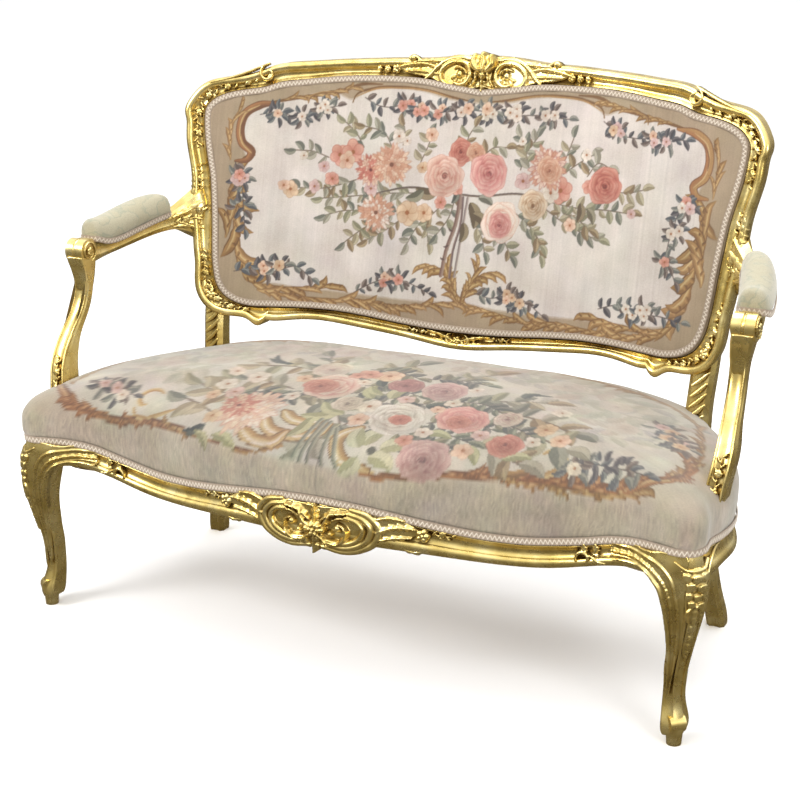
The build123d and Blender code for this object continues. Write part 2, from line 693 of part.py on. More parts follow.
def arm_pad_cover():
    shell = pad_shape(0, FIT) - pad_shape(PAD_COVER, -8)
    return shell - arm_body()


def arm_pad_stuffing():
    return pad_shape(PAD_COVER + FIT, FIT) - arm_body()


def arm_gimp():
    """Braid round the foot of the arm pad."""
    height, thickness = ARM_GIMP
    strip = []
    for row in pad_rows(-2 * PAD_HALF_WIDTH, 0):
        y, x, half, bed = row[:4]
        near, far, low, high = x - half, x + half, bed - height, bed + height
        corners = [(near, low), (far, low), (far, high), (near, high)]
        strip.append(ring([Vector(a, y, z) for a, z in corners]))
    band = pad_shape(-FIT - thickness, FIT) & lofted(strip)
    return band - pad_shape(-FIT, -20) - arm_body()


# ---------------------------------------------------------------- seat upholstery
HESSIAN_Z = SEAT_TOP + 2 * WEB_THICKNESS
STUFFING_Z = HESSIAN_Z + HESSIAN_THICKNESS


def post_notch(fit):
    """Space round a rear post that the upholstery leaves free."""
    z, x, y, width, depth = POST_STATIONS[7]
    low = (x - width / 2 - fit, y - depth / 2 - fit, 200)
    return box_between(low, (x + 120, y + 120, 560))


def clear_of_wood(shape, fit):
    for cut in (post_notch(fit), support_seat(fit)):
        shape = shape - cut - other_side(cut)
    return shape


def seat_swell(skin, start):
    """Upholstery from a level upwards, thinner than the outside by a skin."""
    rows = [row for row in SEAT_SWELL if row[0] - skin > start + 5]
    first = (start + skin,) + SEAT_SWELL[1][1:]
    return lofted([seat_level(*row, skin) for row in [first] + rows], True)


def seat_cover():
    skin = lofted([seat_level(*row) for row in SEAT_SWELL], True)
    hollow = seat_swell(COVER_THICKNESS, STUFFING_Z - FIT)
    column = seat_column(TACK_SETBACK - 3 * FIT, 200, STUFFING_Z)
    shell = skin - column - hollow - below_upholstery_line(FIT)
    return clear_of_wood(shell, 2 * FIT)


def seat_stuffing():
    pad = seat_swell(COVER_THICKNESS + FIT, STUFFING_Z)
    return clear_of_wood(pad, 2 * FIT + COVER_THICKNESS)


def seat_hessian():
    sheet = seat_column(TACK_SETBACK + 3, HESSIAN_Z, STUFFING_Z)
    return clear_of_wood(sheet, 2 * FIT)


def front_face_y(x):
    return between(FRONT_STATIONS, abs(x), 1)


def side_face_x(y):
    return between(SIDE_STATIONS, y, 1)


def seat_webbing_cross():
    """Straps from the front rail to the rear rail, on top of the long ones."""
    straps = []
    low, high = SEAT_TOP + WEB_THICKNESS, SEAT_TOP + 2 * WEB_THICKNESS
    for i in range(SEAT_WEB_COUNT):
        x = (i - (SEAT_WEB_COUNT - 1) / 2) * SEAT_WEB_SPACING
        edge = max(front_face_y(x - WEB_WIDTH / 2), front_face_y(x + WEB_WIDTH / 2))
        start, end = edge + TACK_SETBACK + 3, REAR_RAIL_Y + RAIL_THICKNESS - 3
        straps.append(box_between((x - WEB_WIDTH / 2, start, low), (x + WEB_WIDTH / 2, end, high)))
    return Compound(children=straps)


def seat_webbing_long():
    """Straps from side to side, tacked on the side rails."""
    straps = []
    for y in SEAT_WEB_LONG:
        near = min(side_face_x(y), side_face_x(y + WEB_WIDTH)) - TACK_SETBACK - 3
        if support_covers(y):
            near = min(near, SUPPORT_STATIONS[0][3] - SUPPORT_STATIONS[0][4] - 2)
        low = (-near, y, SEAT_TOP)
        straps.append(box_between(low, (near, y + WEB_WIDTH, SEAT_TOP + WEB_THICKNESS)))
    return Compound(children=straps)


def support_covers(y):
    z, front, rear, x, half = SUPPORT_STATIONS[0]
    return y < rear + 2 and y + WEB_WIDTH > front - 2


def seat_gimp():
    """Braid along the lower edge of the cover, on the front and side rails."""
    height, thickness = SEAT_GIMP
    levels = SEAT_SWELL[:3]
    lower = [(levels[0][0] - 6,) + levels[0][1:]] + levels[1:]
    wide = lofted([seat_level(*row, -thickness - FIT) for row in levels], True)
    band = wide & (below_upholstery_line(FIT + height) - below_upholstery_line(FIT))
    band = band - lofted([seat_level(*row, -FIT) for row in lower], True)
    band = band - box_between((-700, POST_STATIONS[7][2] - 30, 200), (700, 400, 600))
    for side in (1, -1):
        cut = support_seat(2 * FIT)
        band = band - (cut if side > 0 else other_side(cut))
    return band


def seat_cloth_under():
    """Thin cloth tacked inside the rails, closing the seat from below."""
    top = REAR_RAIL_LOW - FIT
    sheet = seat_column(RAIL_THICKNESS + 2 * FIT, top - CLOTH_UNDER, top)
    z, outer, inner, front, rear = LEG_STATIONS[-3]
    legs = box_between((inner - 2, front - 60, 0), (outer, rear + 2, SEAT_TOP))
    return clear_of_wood(sheet - legs - other_side(legs), 2 * FIT)


# ---------------------------------------------------------------- hidden joinery
def seat_cross_bar():
    """Bar under the webbing, from the front rail to the rear rail."""
    start = FRONT_STATIONS[0][1] + RAIL_THICKNESS + 2 * FIT
    low = (-BAR_WIDTH / 2, start, SEAT_TOP - BAR_HEIGHT - 12)
    return box_between(low, (BAR_WIDTH / 2, REAR_RAIL_Y, SEAT_TOP - 12))


def corner_block(corners):
    """Block glued and screwed into a corner of the seat frame, from its outline in plan."""
    wire = Wire.make_polygon([Vector(a, b, BLOCK_LOW) for a, b in corners], close=True)
    return Solid.extrude(Face(wire), Vector(0, 0, BLOCK_HEIGHT))


def front_block():
    return corner_block(FRONT_BLOCK) - front_screws(MORTISE_FIT)[0]


def rear_block():
    x, y = rear_reach() - FIT, REAR_RAIL_Y
    corners = [(x, y), (x - BLOCK_LEG, y), (x, y - BLOCK_LEG)]
    return corner_block(corners) - rear_screws(MORTISE_FIT)[0]


def block_screw(x, y, turn, fit):
    """Countersunk wood screw; its head is at (x, y) and its shank points along +y."""
    shank = Pos(0, SCREW_LENGTH / 2, 0) * Rot(90, 0, 0) * Cylinder(SCREW_RADIUS + fit, SCREW_LENGTH)
    head = Rot(90, 0, 0) * Cone(SCREW_RADIUS + fit, SCREW_HEAD + fit, SCREW_HEAD_HEIGHT)
    screw = shank.fuse(Pos(0, SCREW_HEAD_HEIGHT / 2, 0) * head)
    return Pos(x, y, BLOCK_LOW + BLOCK_HEIGHT / 2) * Rot(0, 0, turn) * screw


def front_screws(fit=0.0):
    x, y, turn = FRONT_SCREW
    screw = block_screw(x, y, turn, fit)
    return [screw, other_side(screw)]


def rear_screws(fit=0.0):
    depth = BLOCK_LEG / 2
    screw = block_screw(rear_reach() - FIT - depth, REAR_RAIL_Y - depth, 0, fit)
    return [screw, other_side(screw)]


def corner_block_screws():
    return Compound(children=front_screws() + rear_screws())


PIECES = {
    "crest_rail": crest_rail,
    "back_bottom_rail": back_bottom_rail,
    "back_front_cover": back_front_cover,
    "back_stuffing": back_stuffing,
    "back_gimp": back_gimp,
    "back_outside_cover": back_outside_cover,
    "back_outside_gimp": back_outside_gimp,
    "back_webbing_upright": lambda: back_webbing(False),
    "back_webbing_level": lambda: back_webbing(True),
    "front_rail": front_rail,
    "rear_rail": rear_rail,
    "seat_cover": seat_cover,
    "seat_stuffing": seat_stuffing,
    "seat_hessian": seat_hessian,
    "seat_webbing_cross": seat_webbing_cross,
    "seat_webbing_long": seat_webbing_long,
    "seat_gimp": seat_gimp,
    "seat_cloth_under": seat_cloth_under,
    "seat_cross_bar": seat_cross_bar,
    "tenon_pegs": tenon_pegs,
    "corner_block_screws": corner_block_screws,
}
PAIRS = {
    "rear_post": rear_post,
    "front_leg": front_leg,
    "side_rail": side_rail,
    "arm_support": arm_support,
    "arm": arm,
    "arm_pad_cover": arm_pad_cover,
    "arm_pad_stuffing": arm_pad_stuffing,
    "arm_gimp": arm_gimp,
    "front_corner_block": front_block,
    "rear_corner_block": rear_block,
}


def save(name, shape):
    export_step(Pos(0, CENTRING, 0) * shape, f"parts/{name}.step")


os.makedirs("parts", exist_ok=True)
for name, make in PIECES.items():
    save(name, make())
for name, make in PAIRS.items():
    shape = make()
    save("right_" + name, shape)
    save("left_" + name, other_side(shape))
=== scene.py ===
"""Dressing of the two-seat settee: gold leaf, carving, tapestry, braid and padding.

Lengths in the tables are millimetres on the maker's drawings, where x runs across the
settee, y from front to back and z up. Meshes are placed in metres in the row frame.
"""
import json
import math

import bmesh
import bpy
import numpy as np
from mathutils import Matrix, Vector


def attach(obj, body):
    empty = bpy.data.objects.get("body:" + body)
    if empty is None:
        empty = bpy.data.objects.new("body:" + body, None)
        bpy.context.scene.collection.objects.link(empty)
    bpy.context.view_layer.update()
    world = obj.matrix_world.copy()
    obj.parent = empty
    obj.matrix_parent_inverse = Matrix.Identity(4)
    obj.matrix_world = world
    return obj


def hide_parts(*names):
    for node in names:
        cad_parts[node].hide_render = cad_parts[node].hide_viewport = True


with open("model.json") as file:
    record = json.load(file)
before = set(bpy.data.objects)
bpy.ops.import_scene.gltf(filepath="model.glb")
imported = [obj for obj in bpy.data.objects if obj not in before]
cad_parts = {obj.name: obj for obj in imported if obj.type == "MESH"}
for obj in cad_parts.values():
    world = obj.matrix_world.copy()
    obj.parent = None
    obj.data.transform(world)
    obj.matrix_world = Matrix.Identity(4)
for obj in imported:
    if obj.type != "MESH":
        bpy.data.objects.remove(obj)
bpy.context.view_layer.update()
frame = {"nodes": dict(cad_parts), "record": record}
NODES = frame["nodes"]
DRAWING_Y = -9.95            # where the drawings' y = 0 lies in the row frame
SIDES = ((1, "right"), (-1, "left"))

# inner and outer line of the back frame, right half, from the top centre round to the bottom
CREST = [
    (0, 940, 0, 1003), (60, 947, 62, 1001), (124, 956, 124, 994.5), (180, 958, 180, 993),
    (240, 957.5, 240, 990), (300, 954, 302, 986.5), (370, 946, 374, 981),
    (414, 940, 420, 975.5), (440, 931.5, 446, 966), (474, 926, 479, 955.5),
    (508, 919.5, 515, 950), (530, 911, 550, 942), (544, 900, 572, 925), (551, 889, 585, 906),
]
STILE = [
    (552.5, 872, 588.5, 872), (550, 846, 585.5, 846), (540.5, 795, 576, 795),
    (531.5, 757, 568, 757), (526, 716, 565, 718), (520, 662, 559, 662), (516, 615, 552, 614),
    (511, 580, 546.5, 571), (503, 552, 541, 536), (490, 532, 521, 505),
    (468, 517, 480, 487), (436, 508.5, 438, 482), (398, 508, 398, 481.5),
]
BOTTOM = [
    (330, 509.5, 330, 486), (264, 508.5, 263, 485), (197, 503, 195, 477.5),
    (122, 495, 120, 469.5), (60, 490.5, 59, 461.5), (0, 489, 0, 457),
]
# seat rails in plan: x, y of the face and level of the line where the fabric ends
FRONT_EDGE = [
    (0, -341, 325.5), (50, -340, 324), (100, -336, 320), (150, -329, 313.5),
    (200, -320.5, 307), (250, -310, 300.5), (300, -299.5, 296.5), (350, -289, 295.5),
    (400, -280.5, 300), (450, -276, 308), (500, -278.5, 320), (550, -290.5, 328),
    (574, -299.5, 330), (592, -306, 331), (618, -311, 331), (637, -305, 331), (647, -286, 331),
]
SIDE_EDGE = [
    (646, -248, 331), (650, -205, 327), (650, -150, 322), (643, -95, 318), (627, -40, 317),
    (601, 20, 318), (571, 70, 321), (540, 112, 325),
]
REAR_EDGE = [
    (524, 142, 318), (502, 160, 300), (470, 166, 296), (420, 166, 296), (280, 166, 296),
    (140, 166, 296), (0, 166, 296),
]
# seat surface: height of a level, how far it is drawn in at the front, rear and sides
SEAT_LEVELS = [
    (296, 1, 1, 1), (330, -3, -2, -3), (360, -6, -3, -5), (384, -4, -3, -4), (402, 7, 0, 5),
    (416, 26, 3, 24), (430, 58, 8, 66), (444, 104, 16, 140), (456, 165, 28, 240),
    (465, 235, 48, 350), (469, 290, 80, 450), (470.5, 361, 146, 650),
]
SEAT_CROWN_Y = 20.0
SEAT_REACH = (361.0, 146.0, 650.0)       # from the crown to the front, the rear and the sides
SEAT_FOOT, SKIRT_TOP = 296, 350.0        # level where the rail's fabric starts, and of its bend
SHOULDER = 405.0             # above this level the tapestry is drawn in plan
SEAT_FACES = (1250, 150)     # faces round the seat and up to its crown
LEG_SECTIONS = [             # z, outer x, inner x, front y, rear y
    (20, 632, 602, -304, -268), (32, 635, 599, -306, -264), (48, 633, 598, -302, -262),
    (66, 628, 597, -296, -261), (85, 626, 597, -293, -260), (115, 628, 597, -293, -260),
    (150, 634, 599, -296, -262), (185, 642, 601, -303, -263), (220, 650, 601, -310, -262),
    (255, 655, 596, -314, -258), (290, 656, 590, -315, -254), (315, 653, 587, -314, -252),
    (331, 649, 585, -311, -251),
]
LEG_BAND = 0.36              # canted band down the knee, share of the leg's width
CANT = 0.707                 # how far the band runs to the side and to the front
POST_SECTIONS = [            # z, centre x, centre y, width, depth
    (262, 508, 142, 45, 46), (338, 504, 138, 46, 47), (400, 504, 141, 44, 44),
    (450, 506, 147, 43, 42), (500, 509, 156, 44, 38), (545, 521, 167, 30, 30),
]
SUPPORT_SECTIONS = [         # z, front y, rear y, centre x, half width
    (330, -229, -141, 632, 16), (350, -222, -147, 633, 16.5), (375, -216, -151, 635, 17),
    (405, -209, -151, 638, 17.5), (440, -199, -145, 643, 18), (475, -181, -136, 645, 17),
    (510, -156, -123, 643, 15.5), (540, -133, -105, 641, 15), (570, -120, -94, 640, 15),
    (600, -117, -87, 641, 16), (622, -119, -82, 643, 17),
]
ARM_SECTIONS = [             # y, centre x, half width, underside, top
    (-112, 646, 17, 622, 664), (-96, 646, 17.5, 622, 671), (-76, 645, 17, 624.5, 667),
    (-52, 643, 16.5, 629, 660), (-20, 638, 16, 634, 662), (25, 628, 16, 642, 672),
    (70, 614, 16, 651, 683), (104, 600, 16, 656, 690), (126, 587, 16.5, 656, 698),
    (142, 575, 19, 650, 710), (156, 562, 21, 640, 724), (172, 557, 21, 632, 736),
]
SCROLL = (-103.0, 649.0, 19.0)           # y, z and half width of the scroll at the arm's front
PAD = (-74.0, 106.0, 26.0, 43.0)         # front, rear, half width and height of the arm pad
UNDER_CLOTH = [              # x, y of the dust cloth's edge, right half
    (0, -307), (120, -300), (220, -283), (320, -262), (420, -245), (500, -245), (560, -256),
    (583, -250), (592, -235), (612, -200), (614, -150), (607, -95), (592, -40), (567, 20),
    (537, 70), (506, 104), (478, 118), (440, 132), (0, 133),
]
UNDER_CLOTH_Z = 270.4
# the back's surface: y and z of its foot, how it leans and how it bows
BACK_FOOT, BACK_LEAN, BACK_BOW = (214, 469), 0.227, 0.345e-3
PANEL_EDGE, PANEL_CROWN, PANEL_SPAN = 2, 13, 640     # how far the tapestry stands out, and its span
TACKED = -3.0                # where the tapestry of the back is tacked, out from the face
OUTSIDE_FACE, OUTSIDE_TACKED = -31.7, -29.6          # the same for the cloth behind
BRAID_PITCH, BRAID_AROUND = 7.6, 22      # length of one crossing of the cord, points round a braid
BRAID_STEP = 1.1
PAD_SWELL = (4.0, 0.003, 20)             # pressure, furthest swell in metres, frames
PAD_MESH = 0.005
CAMERA_PLACE = (1.32784, -2.66716 + DRAWING_Y * 0.001, 1.31616)
CAMERA_DOWN, CAMERA_TURN, CAMERA_LENS = 16.88095, 26.76181, 76.49


# ---------------------------------------------------------------- curves and drawing boards
def curve_through(points, step):
    """Evenly spaced points on a smooth curve through a row of points."""
    p = np.asarray(points, float)
    p = np.vstack([2 * p[0] - p[1], p, 2 * p[-1] - p[-2]])
    dense = []
    t = np.linspace(0, 1, 16, endpoint=False)[:, None]
    for a, b, c, d in zip(p[:-3], p[1:-2], p[2:-1], p[3:]):
        before, here, after = (max(np.linalg.norm(q), 1e-6) for q in (b - a, c - b, d - c))
        leave = ((b - a) / before * here + (c - b) / here * before) / (before + here) * here
        arrive = ((c - b) / here * after + (d - c) / after * here) / (here + after) * here
        dense.append((1 + 2 * t) * (1 - t) ** 2 * b + t * (1 - t) ** 2 * leave
                     + t * t * (3 - 2 * t) * c + t * t * (t - 1) * arrive)
    dense = np.vstack(dense + [p[-2][None]])
    run = run_along(dense)
    at = np.linspace(0, run[-1], max(int(round(run[-1] / step)), 2) + 1)
    return np.stack([np.interp(at, run, dense[:, k]) for k in range(p.shape[1])], 1)


def between(rows, at, column):
    """Value of a column at places along smooth curves through a table's rows."""
    rows = np.asarray(rows, float)
    key, value = rows[:, 0], rows[:, column]
    row = np.arange(len(rows))
    before, after = np.maximum(row - 1, 0), np.minimum(row + 1, len(rows) - 1)
    slope = (value[after] - value[before]) / (key[after] - key[before])
    at = np.clip(at, key[0], key[-1])
    i = np.clip(np.searchsorted(key, at, side="right") - 1, 0, len(rows) - 2)
    span = key[i + 1] - key[i]
    t = (at - key[i]) / span
    return (value[i] * (1 + 2 * t) * (1 - t) ** 2 + span * slope[i] * t * (1 - t) ** 2
            + value[i + 1] * t * t * (3 - 2 * t) - span * slope[i + 1] * t * t * (1 - t))


def both_halves(half):
    """A closed outline from its right half, which starts and ends on the centre line."""
    half = np.asarray(half, float)
    other = half[-2:0:-1].copy()
    other[:, 0] *= -1
    return np.vstack([half, other])


def run_along(line):
    """Length of a line from its start to each of its points."""
    return np.concatenate([[0], np.cumsum(np.linalg.norm(np.diff(line, axis=0), axis=1))])


def unit(vectors):
    return vectors / np.linalg.norm(vectors, axis=1)[:, None]


def evened(value, power):
    """A sine or cosine raised to a power with its sign kept, for rounded boxes."""
    return np.sign(value) * np.abs(value) ** power


def on_side(side):
    """Takes points of the right half to the side that is drawn."""
    return lambda *points: [(side * x, z) for x, z in points]


def arc(x, z, radius, start, end, count):
    """Points on an arc or a spiral; angles in degrees, radius may be (first, last)."""
    first, last = radius if isinstance(radius, tuple) else (radius, radius)
    turn = np.radians(np.linspace(start, end, count))
    reach = np.linspace(first, last, count)
    return np.stack([x + reach * np.cos(turn), z + reach * np.sin(turn)], 1)


def distance_to(line, x, z):
    """Share along a line of the nearest place on it, and the signed distance from it."""
    best = np.full(x.shape, 1e9)
    share, side = np.zeros(x.shape), np.ones(x.shape)
    count = len(line) - 1
    for i in range(count):
        (ax, az), (bx, bz) = line[i], line[i + 1]
        dx, dz = bx - ax, bz - az
        t = np.clip(((x - ax) * dx + (z - az) * dz) / max(dx * dx + dz * dz, 1e-9), 0, 1)
        far = np.hypot(x - ax - t * dx, z - az - t * dz)
        nearer = far < best
        best = np.where(nearer, far, best)
        share = np.where(nearer, (i + t) / count, share)
        side = np.where(nearer, np.sign(dx * (z - az) - dz * (x - ax)), side)
    return share, best * side


class Board:
    """A drawing board in millimetres, on which strokes are laid by distance from a line."""

    def __init__(self, left, low, right, high, step):
        self.step, self.left, self.low = step, left, low
        self.x, self.z = np.meshgrid(np.arange(left, right + step / 2, step),
                                     np.arange(low, high + step / 2, step))

    def window(self, low_x, low_z, high_x, high_z):
        rows, columns = self.x.shape
        c0 = int(np.clip((low_x - self.left) // self.step, 0, columns))
        c1 = int(np.clip((high_x - self.left) // self.step + 2, 0, columns))
        r0 = int(np.clip((low_z - self.low) // self.step, 0, rows))
        r1 = int(np.clip((high_z - self.low) // self.step + 2, 0, rows))
        return slice(r0, r1), slice(c0, c1)

    def near(self, line, reach):
        """Window round a line, with each point's share along it and signed distance from it."""
        line = np.asarray(line, float)
        low, high = line.min(0) - reach, line.max(0) + reach
        win = self.window(low[0], low[1], high[0], high[1])
        share, off = distance_to(line, self.x[win], self.z[win])
        return win, share, off


def inside(outline, x, z):
    """True for the points that lie within a closed outline."""
    result = np.zeros(x.shape, bool)
    for (ax, az), (bx, bz) in zip(outline, np.roll(outline, -1, 0)):
        if az != bz:
            crosses = (az > z) != (bz > z)
            result ^= crosses & (x < (bx - ax) * (z - az) / (bz - az) + ax)
    return result


# ---------------------------------------------------------------- weaving
class Weaving(Board):
    """A board that holds the colours of the tapestry, as a weaver lays them in."""

    def __init__(self, left, low, right, high, ground, seed):
        super().__init__(left, low, right, high, 1.0)
        self.rng = np.random.default_rng(seed)
        self.colour = np.empty(self.x.shape + (3,))
        self.colour[:] = ground

    def lay(self, win, cover, colour):
        cover = np.clip(cover, 0, 1)[..., None]
        self.colour[win] = self.colour[win] * (1 - cover) + np.asarray(colour) * cover

    def stroke(self, line, width, colour, shade=None, tip=0.35):
        """A tapering line, lighter on one side where a shade is given."""
        line = curve_through(line, 4)
        win, share, off = self.near(line, width)
        half = width / 2 * np.clip((np.sin(np.pi * share) + tip) * 1.2, 0, 1)
        cover = (half - np.abs(off)) / 0.9 + 0.5
        colour = np.asarray(colour, float)
        if shade is not None:
            mix = np.clip(0.5 + off / np.maximum(width * 0.5, 1), 0, 1)[..., None]
            colour = colour * (1 - mix) + np.asarray(shade) * mix
        self.lay(win, cover, colour)

    def leaf(self, x, z, angle, length, width, light, dark, bend=0.15):
        """A leaf, lighter and darker either side of its vein, edged on the dark side."""
        a = math.radians(angle)
        along, across = np.array([math.cos(a), math.sin(a)]), np.array([-math.sin(a), math.cos(a)])
        start = np.array([x, z], float)
        line = [start, start + along * length * 0.5 + across * length * bend,
                start + along * length]
        line = curve_through(line, 3)
        win, share, off = self.near(line, width)
        half = width / 2 * np.sin(np.pi * np.clip(share, 0, 1) ** 0.85) ** 0.7
        cover = (half - np.abs(off)) / 0.9 + 0.4
        split = np.clip(0.5 + off * 0.6, 0, 1)[..., None]
        light, dark = np.asarray(light), np.asarray(dark)
        colour = dark * (1 - split) + light * split
        rib = np.abs(np.sin((share * length + np.abs(off) * 0.9) * 0.75))[..., None]
        colour = colour * (1 - 0.10 * rib)
        edge = np.clip(1.3 - (half - np.abs(off)), 0, 1)[..., None] * 0.55
        colour = colour * (1 - edge) + dark * 0.72 * edge
        self.lay(win, cover, colour)
        self.lay(win, np.clip(1.1 - np.abs(off), 0, 1) * (cover > 0.5) * 0.55, dark * 0.70)

    def petal(self, x, z, angle, length, width, inner, outer, edge):
        """A rounded petal that grows from (x, z) outwards, paler to its rim."""
        a = math.radians(angle)
        win = self.window(x - length, z - length, x + length, z + length)
        px, pz = self.x[win] - x, self.z[win] - z
        u = (px * math.cos(a) + pz * math.sin(a)) / length
        v = (-px * math.sin(a) + pz * math.cos(a)) / (width / 2)
        reach = np.hypot((u - 0.5) * 2, v * np.where(u > 0.5, 1.0, 1.35 - 0.7 * u))
        cover = (1 - reach) * min(length, width) / 2.2 + 0.35
        mix = np.clip(u * 1.1, 0, 1)[..., None]
        colour = np.asarray(inner) * (1 - mix) + np.asarray(outer) * mix
        rim = np.clip((reach - 0.80) / 0.14, 0, 1)[..., None] * 0.6
        self.lay(win, cover, colour * (1 - rim) + np.asarray(edge) * rim)

    def folded_petal(self, heart, angle, inner, outer, size, tones, tint):
        """One petal of a full rose: deep where the next ring shades it, pale at its turned rim."""
        deep, mid, pale = (np.asarray(t) + tint for t in tones)
        x, z = heart
        cx, cz = x + math.cos(angle) * (outer - size), z + math.sin(angle) * (outer - size)
        win = self.window(cx - size, cz - size, cx + size, cz + size)
        dx, dz = self.x[win] - cx, self.z[win] - cz
        wave = 1 + 0.05 * np.sin(np.arctan2(dz, dx) * 5 + angle * 3)
        far = np.hypot(dx, dz) / (size * wave)
        out = np.hypot(self.x[win] - x, self.z[win] - z) - inner
        t = np.clip(out / max(outer - inner, 1), 0, 1)[..., None]
        colour = np.where(t < 0.5, deep + (mid - deep) * t * 2, mid + (pale - mid) * (t - 0.5) * 2)
        shaded = np.clip(0.5 - 0.5 * (dx * 0.6 - dz * 0.8) / size, 0, 1)[..., None]
        colour = colour * (0.93 + 0.10 * shaded)
        rim = np.clip((far - 1 + 2.2 / size) * size / 1.2, 0, 1)[..., None]
        colour = colour * (1 - rim * 0.65) + (deep * 0.5 + mid * 0.5) * rim * 0.65
        self.lay(win, (1 - far) * size / 1.1 + 0.3, colour)

    def rose(self, x, z, radius, tones):
        """A full rose: rings of folded petals round a rolled heart."""
        rng = self.rng
        rings = [(1.0, 6), (0.80, 5), (0.60, 5), (0.42, 4), (0.27, 3)]
        for k, (reach, count) in enumerate(rings):
            inner = rings[k + 1][0] if k < 4 else 0.10
            start = rng.uniform(0, 2 * math.pi)
            for n in rng.permutation(count):
                angle = start + n * 2 * math.pi / count + rng.uniform(-0.2, 0.2)
                outer = radius * reach * rng.uniform(0.90, 1.06)
                self.folded_petal((x, z), angle, radius * inner * 0.75, outer,
                                  outer * rng.uniform(0.56, 0.68), tones,
                                  rng.uniform(-0.035, 0.035) - 0.012 * k)
        heart = arc(x, z, (radius * 0.16, radius * 0.04), rng.uniform(0, 360), 500, 9)
        self.stroke(heart, max(radius * 0.05, 1.4), np.asarray(tones[0]) * 0.70)

    def fringed(self, x, z, radius, tones):
        """A flower of many narrow petals, each its own tone."""
        rng = self.rng
        for count, reach, wide in [(30, 1.0, 0.22), (26, 0.80, 0.21), (20, 0.58, 0.20),
                                   (14, 0.36, 0.18)]:
            for k in rng.permutation(count):
                inner, outer = tones[rng.integers(0, 2)], tones[rng.integers(1, 3)]
                tint = rng.uniform(-0.04, 0.04)
                self.petal(x, z, (k + rng.uniform(-0.4, 0.4)) * 360 / count,
                           radius * reach * rng.uniform(0.78, 1.08),
                           radius * wide * rng.uniform(0.85, 1.2), np.asarray(inner) + tint,
                           np.asarray(outer) + tint, np.asarray(tones[0]) * 0.95)
        self.disc(x, z, radius * 0.10, np.asarray(tones[0]) * 0.72)

    def blossom(self, x, z, radius, tones, count=5):
        """A small open flower."""
        start = self.rng.uniform(0, 360)
        deep, mid, pale = (np.asarray(t) for t in tones)
        for k in range(count):
            tint = self.rng.uniform(-0.05, 0.04)
            self.petal(x, z, start + k * 360 / count, radius * self.rng.uniform(0.85, 1.1),
                       radius * 0.95, mid + tint, pale + tint, deep * 0.6 + mid * 0.4)
        self.disc(x, z, max(radius * 0.17, 1.5), BLOSSOM_HEART)

    def disc(self, x, z, radius, colour):
        win = self.window(x - radius - 2, z - radius - 2, x + radius + 2, z + radius + 2)
        far = np.hypot(self.x[win] - x, self.z[win] - z)
        self.lay(win, radius - far + 0.5, colour)

    def spray(self, points, size, tones, stem, every=1.0):
        """A stem with leaves on both sides, unevenly set, and one at its tip."""
        line = curve_through(points, 3)
        rng = self.rng
        self.stroke(points, max(size * 0.09, 1.4), stem, tip=0.7)
        at, hand = size * 0.35, 1
        while at < len(line) * 3 - 6:
            i = min(int(at / 3), len(line) - 2)
            direction = line[i + 1] - line[max(i - 1, 0)]
            angle = math.degrees(math.atan2(direction[1], direction[0]))
            light, dark = tones[rng.integers(len(tones))]
            length = size * rng.uniform(0.72, 1.15)
            self.leaf(line[i][0], line[i][1], angle + hand * rng.uniform(30, 80), length,
                      length * rng.uniform(0.44, 0.60), light, dark, bend=rng.uniform(-0.15, 0.15))
            at += size * rng.uniform(0.28, 0.5) * every
            hand = -hand
        direction = line[-1] - line[-3]
        light, dark = tones[rng.integers(len(tones))]
        self.leaf(line[-1][0], line[-1][1], math.degrees(math.atan2(direction[1], direction[0])),
                  size, size * 0.5, light, dark)

    def posy(self, x, z, size, petals, leaves, count=3):
        """A knot of small flowers over leaves that point all round."""
        rng = self.rng
        start = rng.uniform(0, 360)
        for k in range(7):
            light, dark = leaves[rng.integers(len(leaves))]
            angle = start + k * 360 / 7 + rng.uniform(-16, 16)
            a = math.radians(angle)
            self.leaf(x + math.cos(a) * size * 0.5, z + math.sin(a) * size * 0.4,
                      angle + rng.uniform(-25, 25), size * rng.uniform(0.7, 1.05), size * 0.42,
                      light, dark)
        for k in range(count):
            a = math.radians(start + k * 360 / max(count, 1) + rng.uniform(-20, 20))
            reach = size * (0.42 if count > 1 else 0)
            self.blossom(x + math.cos(a) * reach, z + math.sin(a) * reach * 0.7,
                         size * rng.uniform(0.42, 0.55), petals[rng.integers(len(petals))])

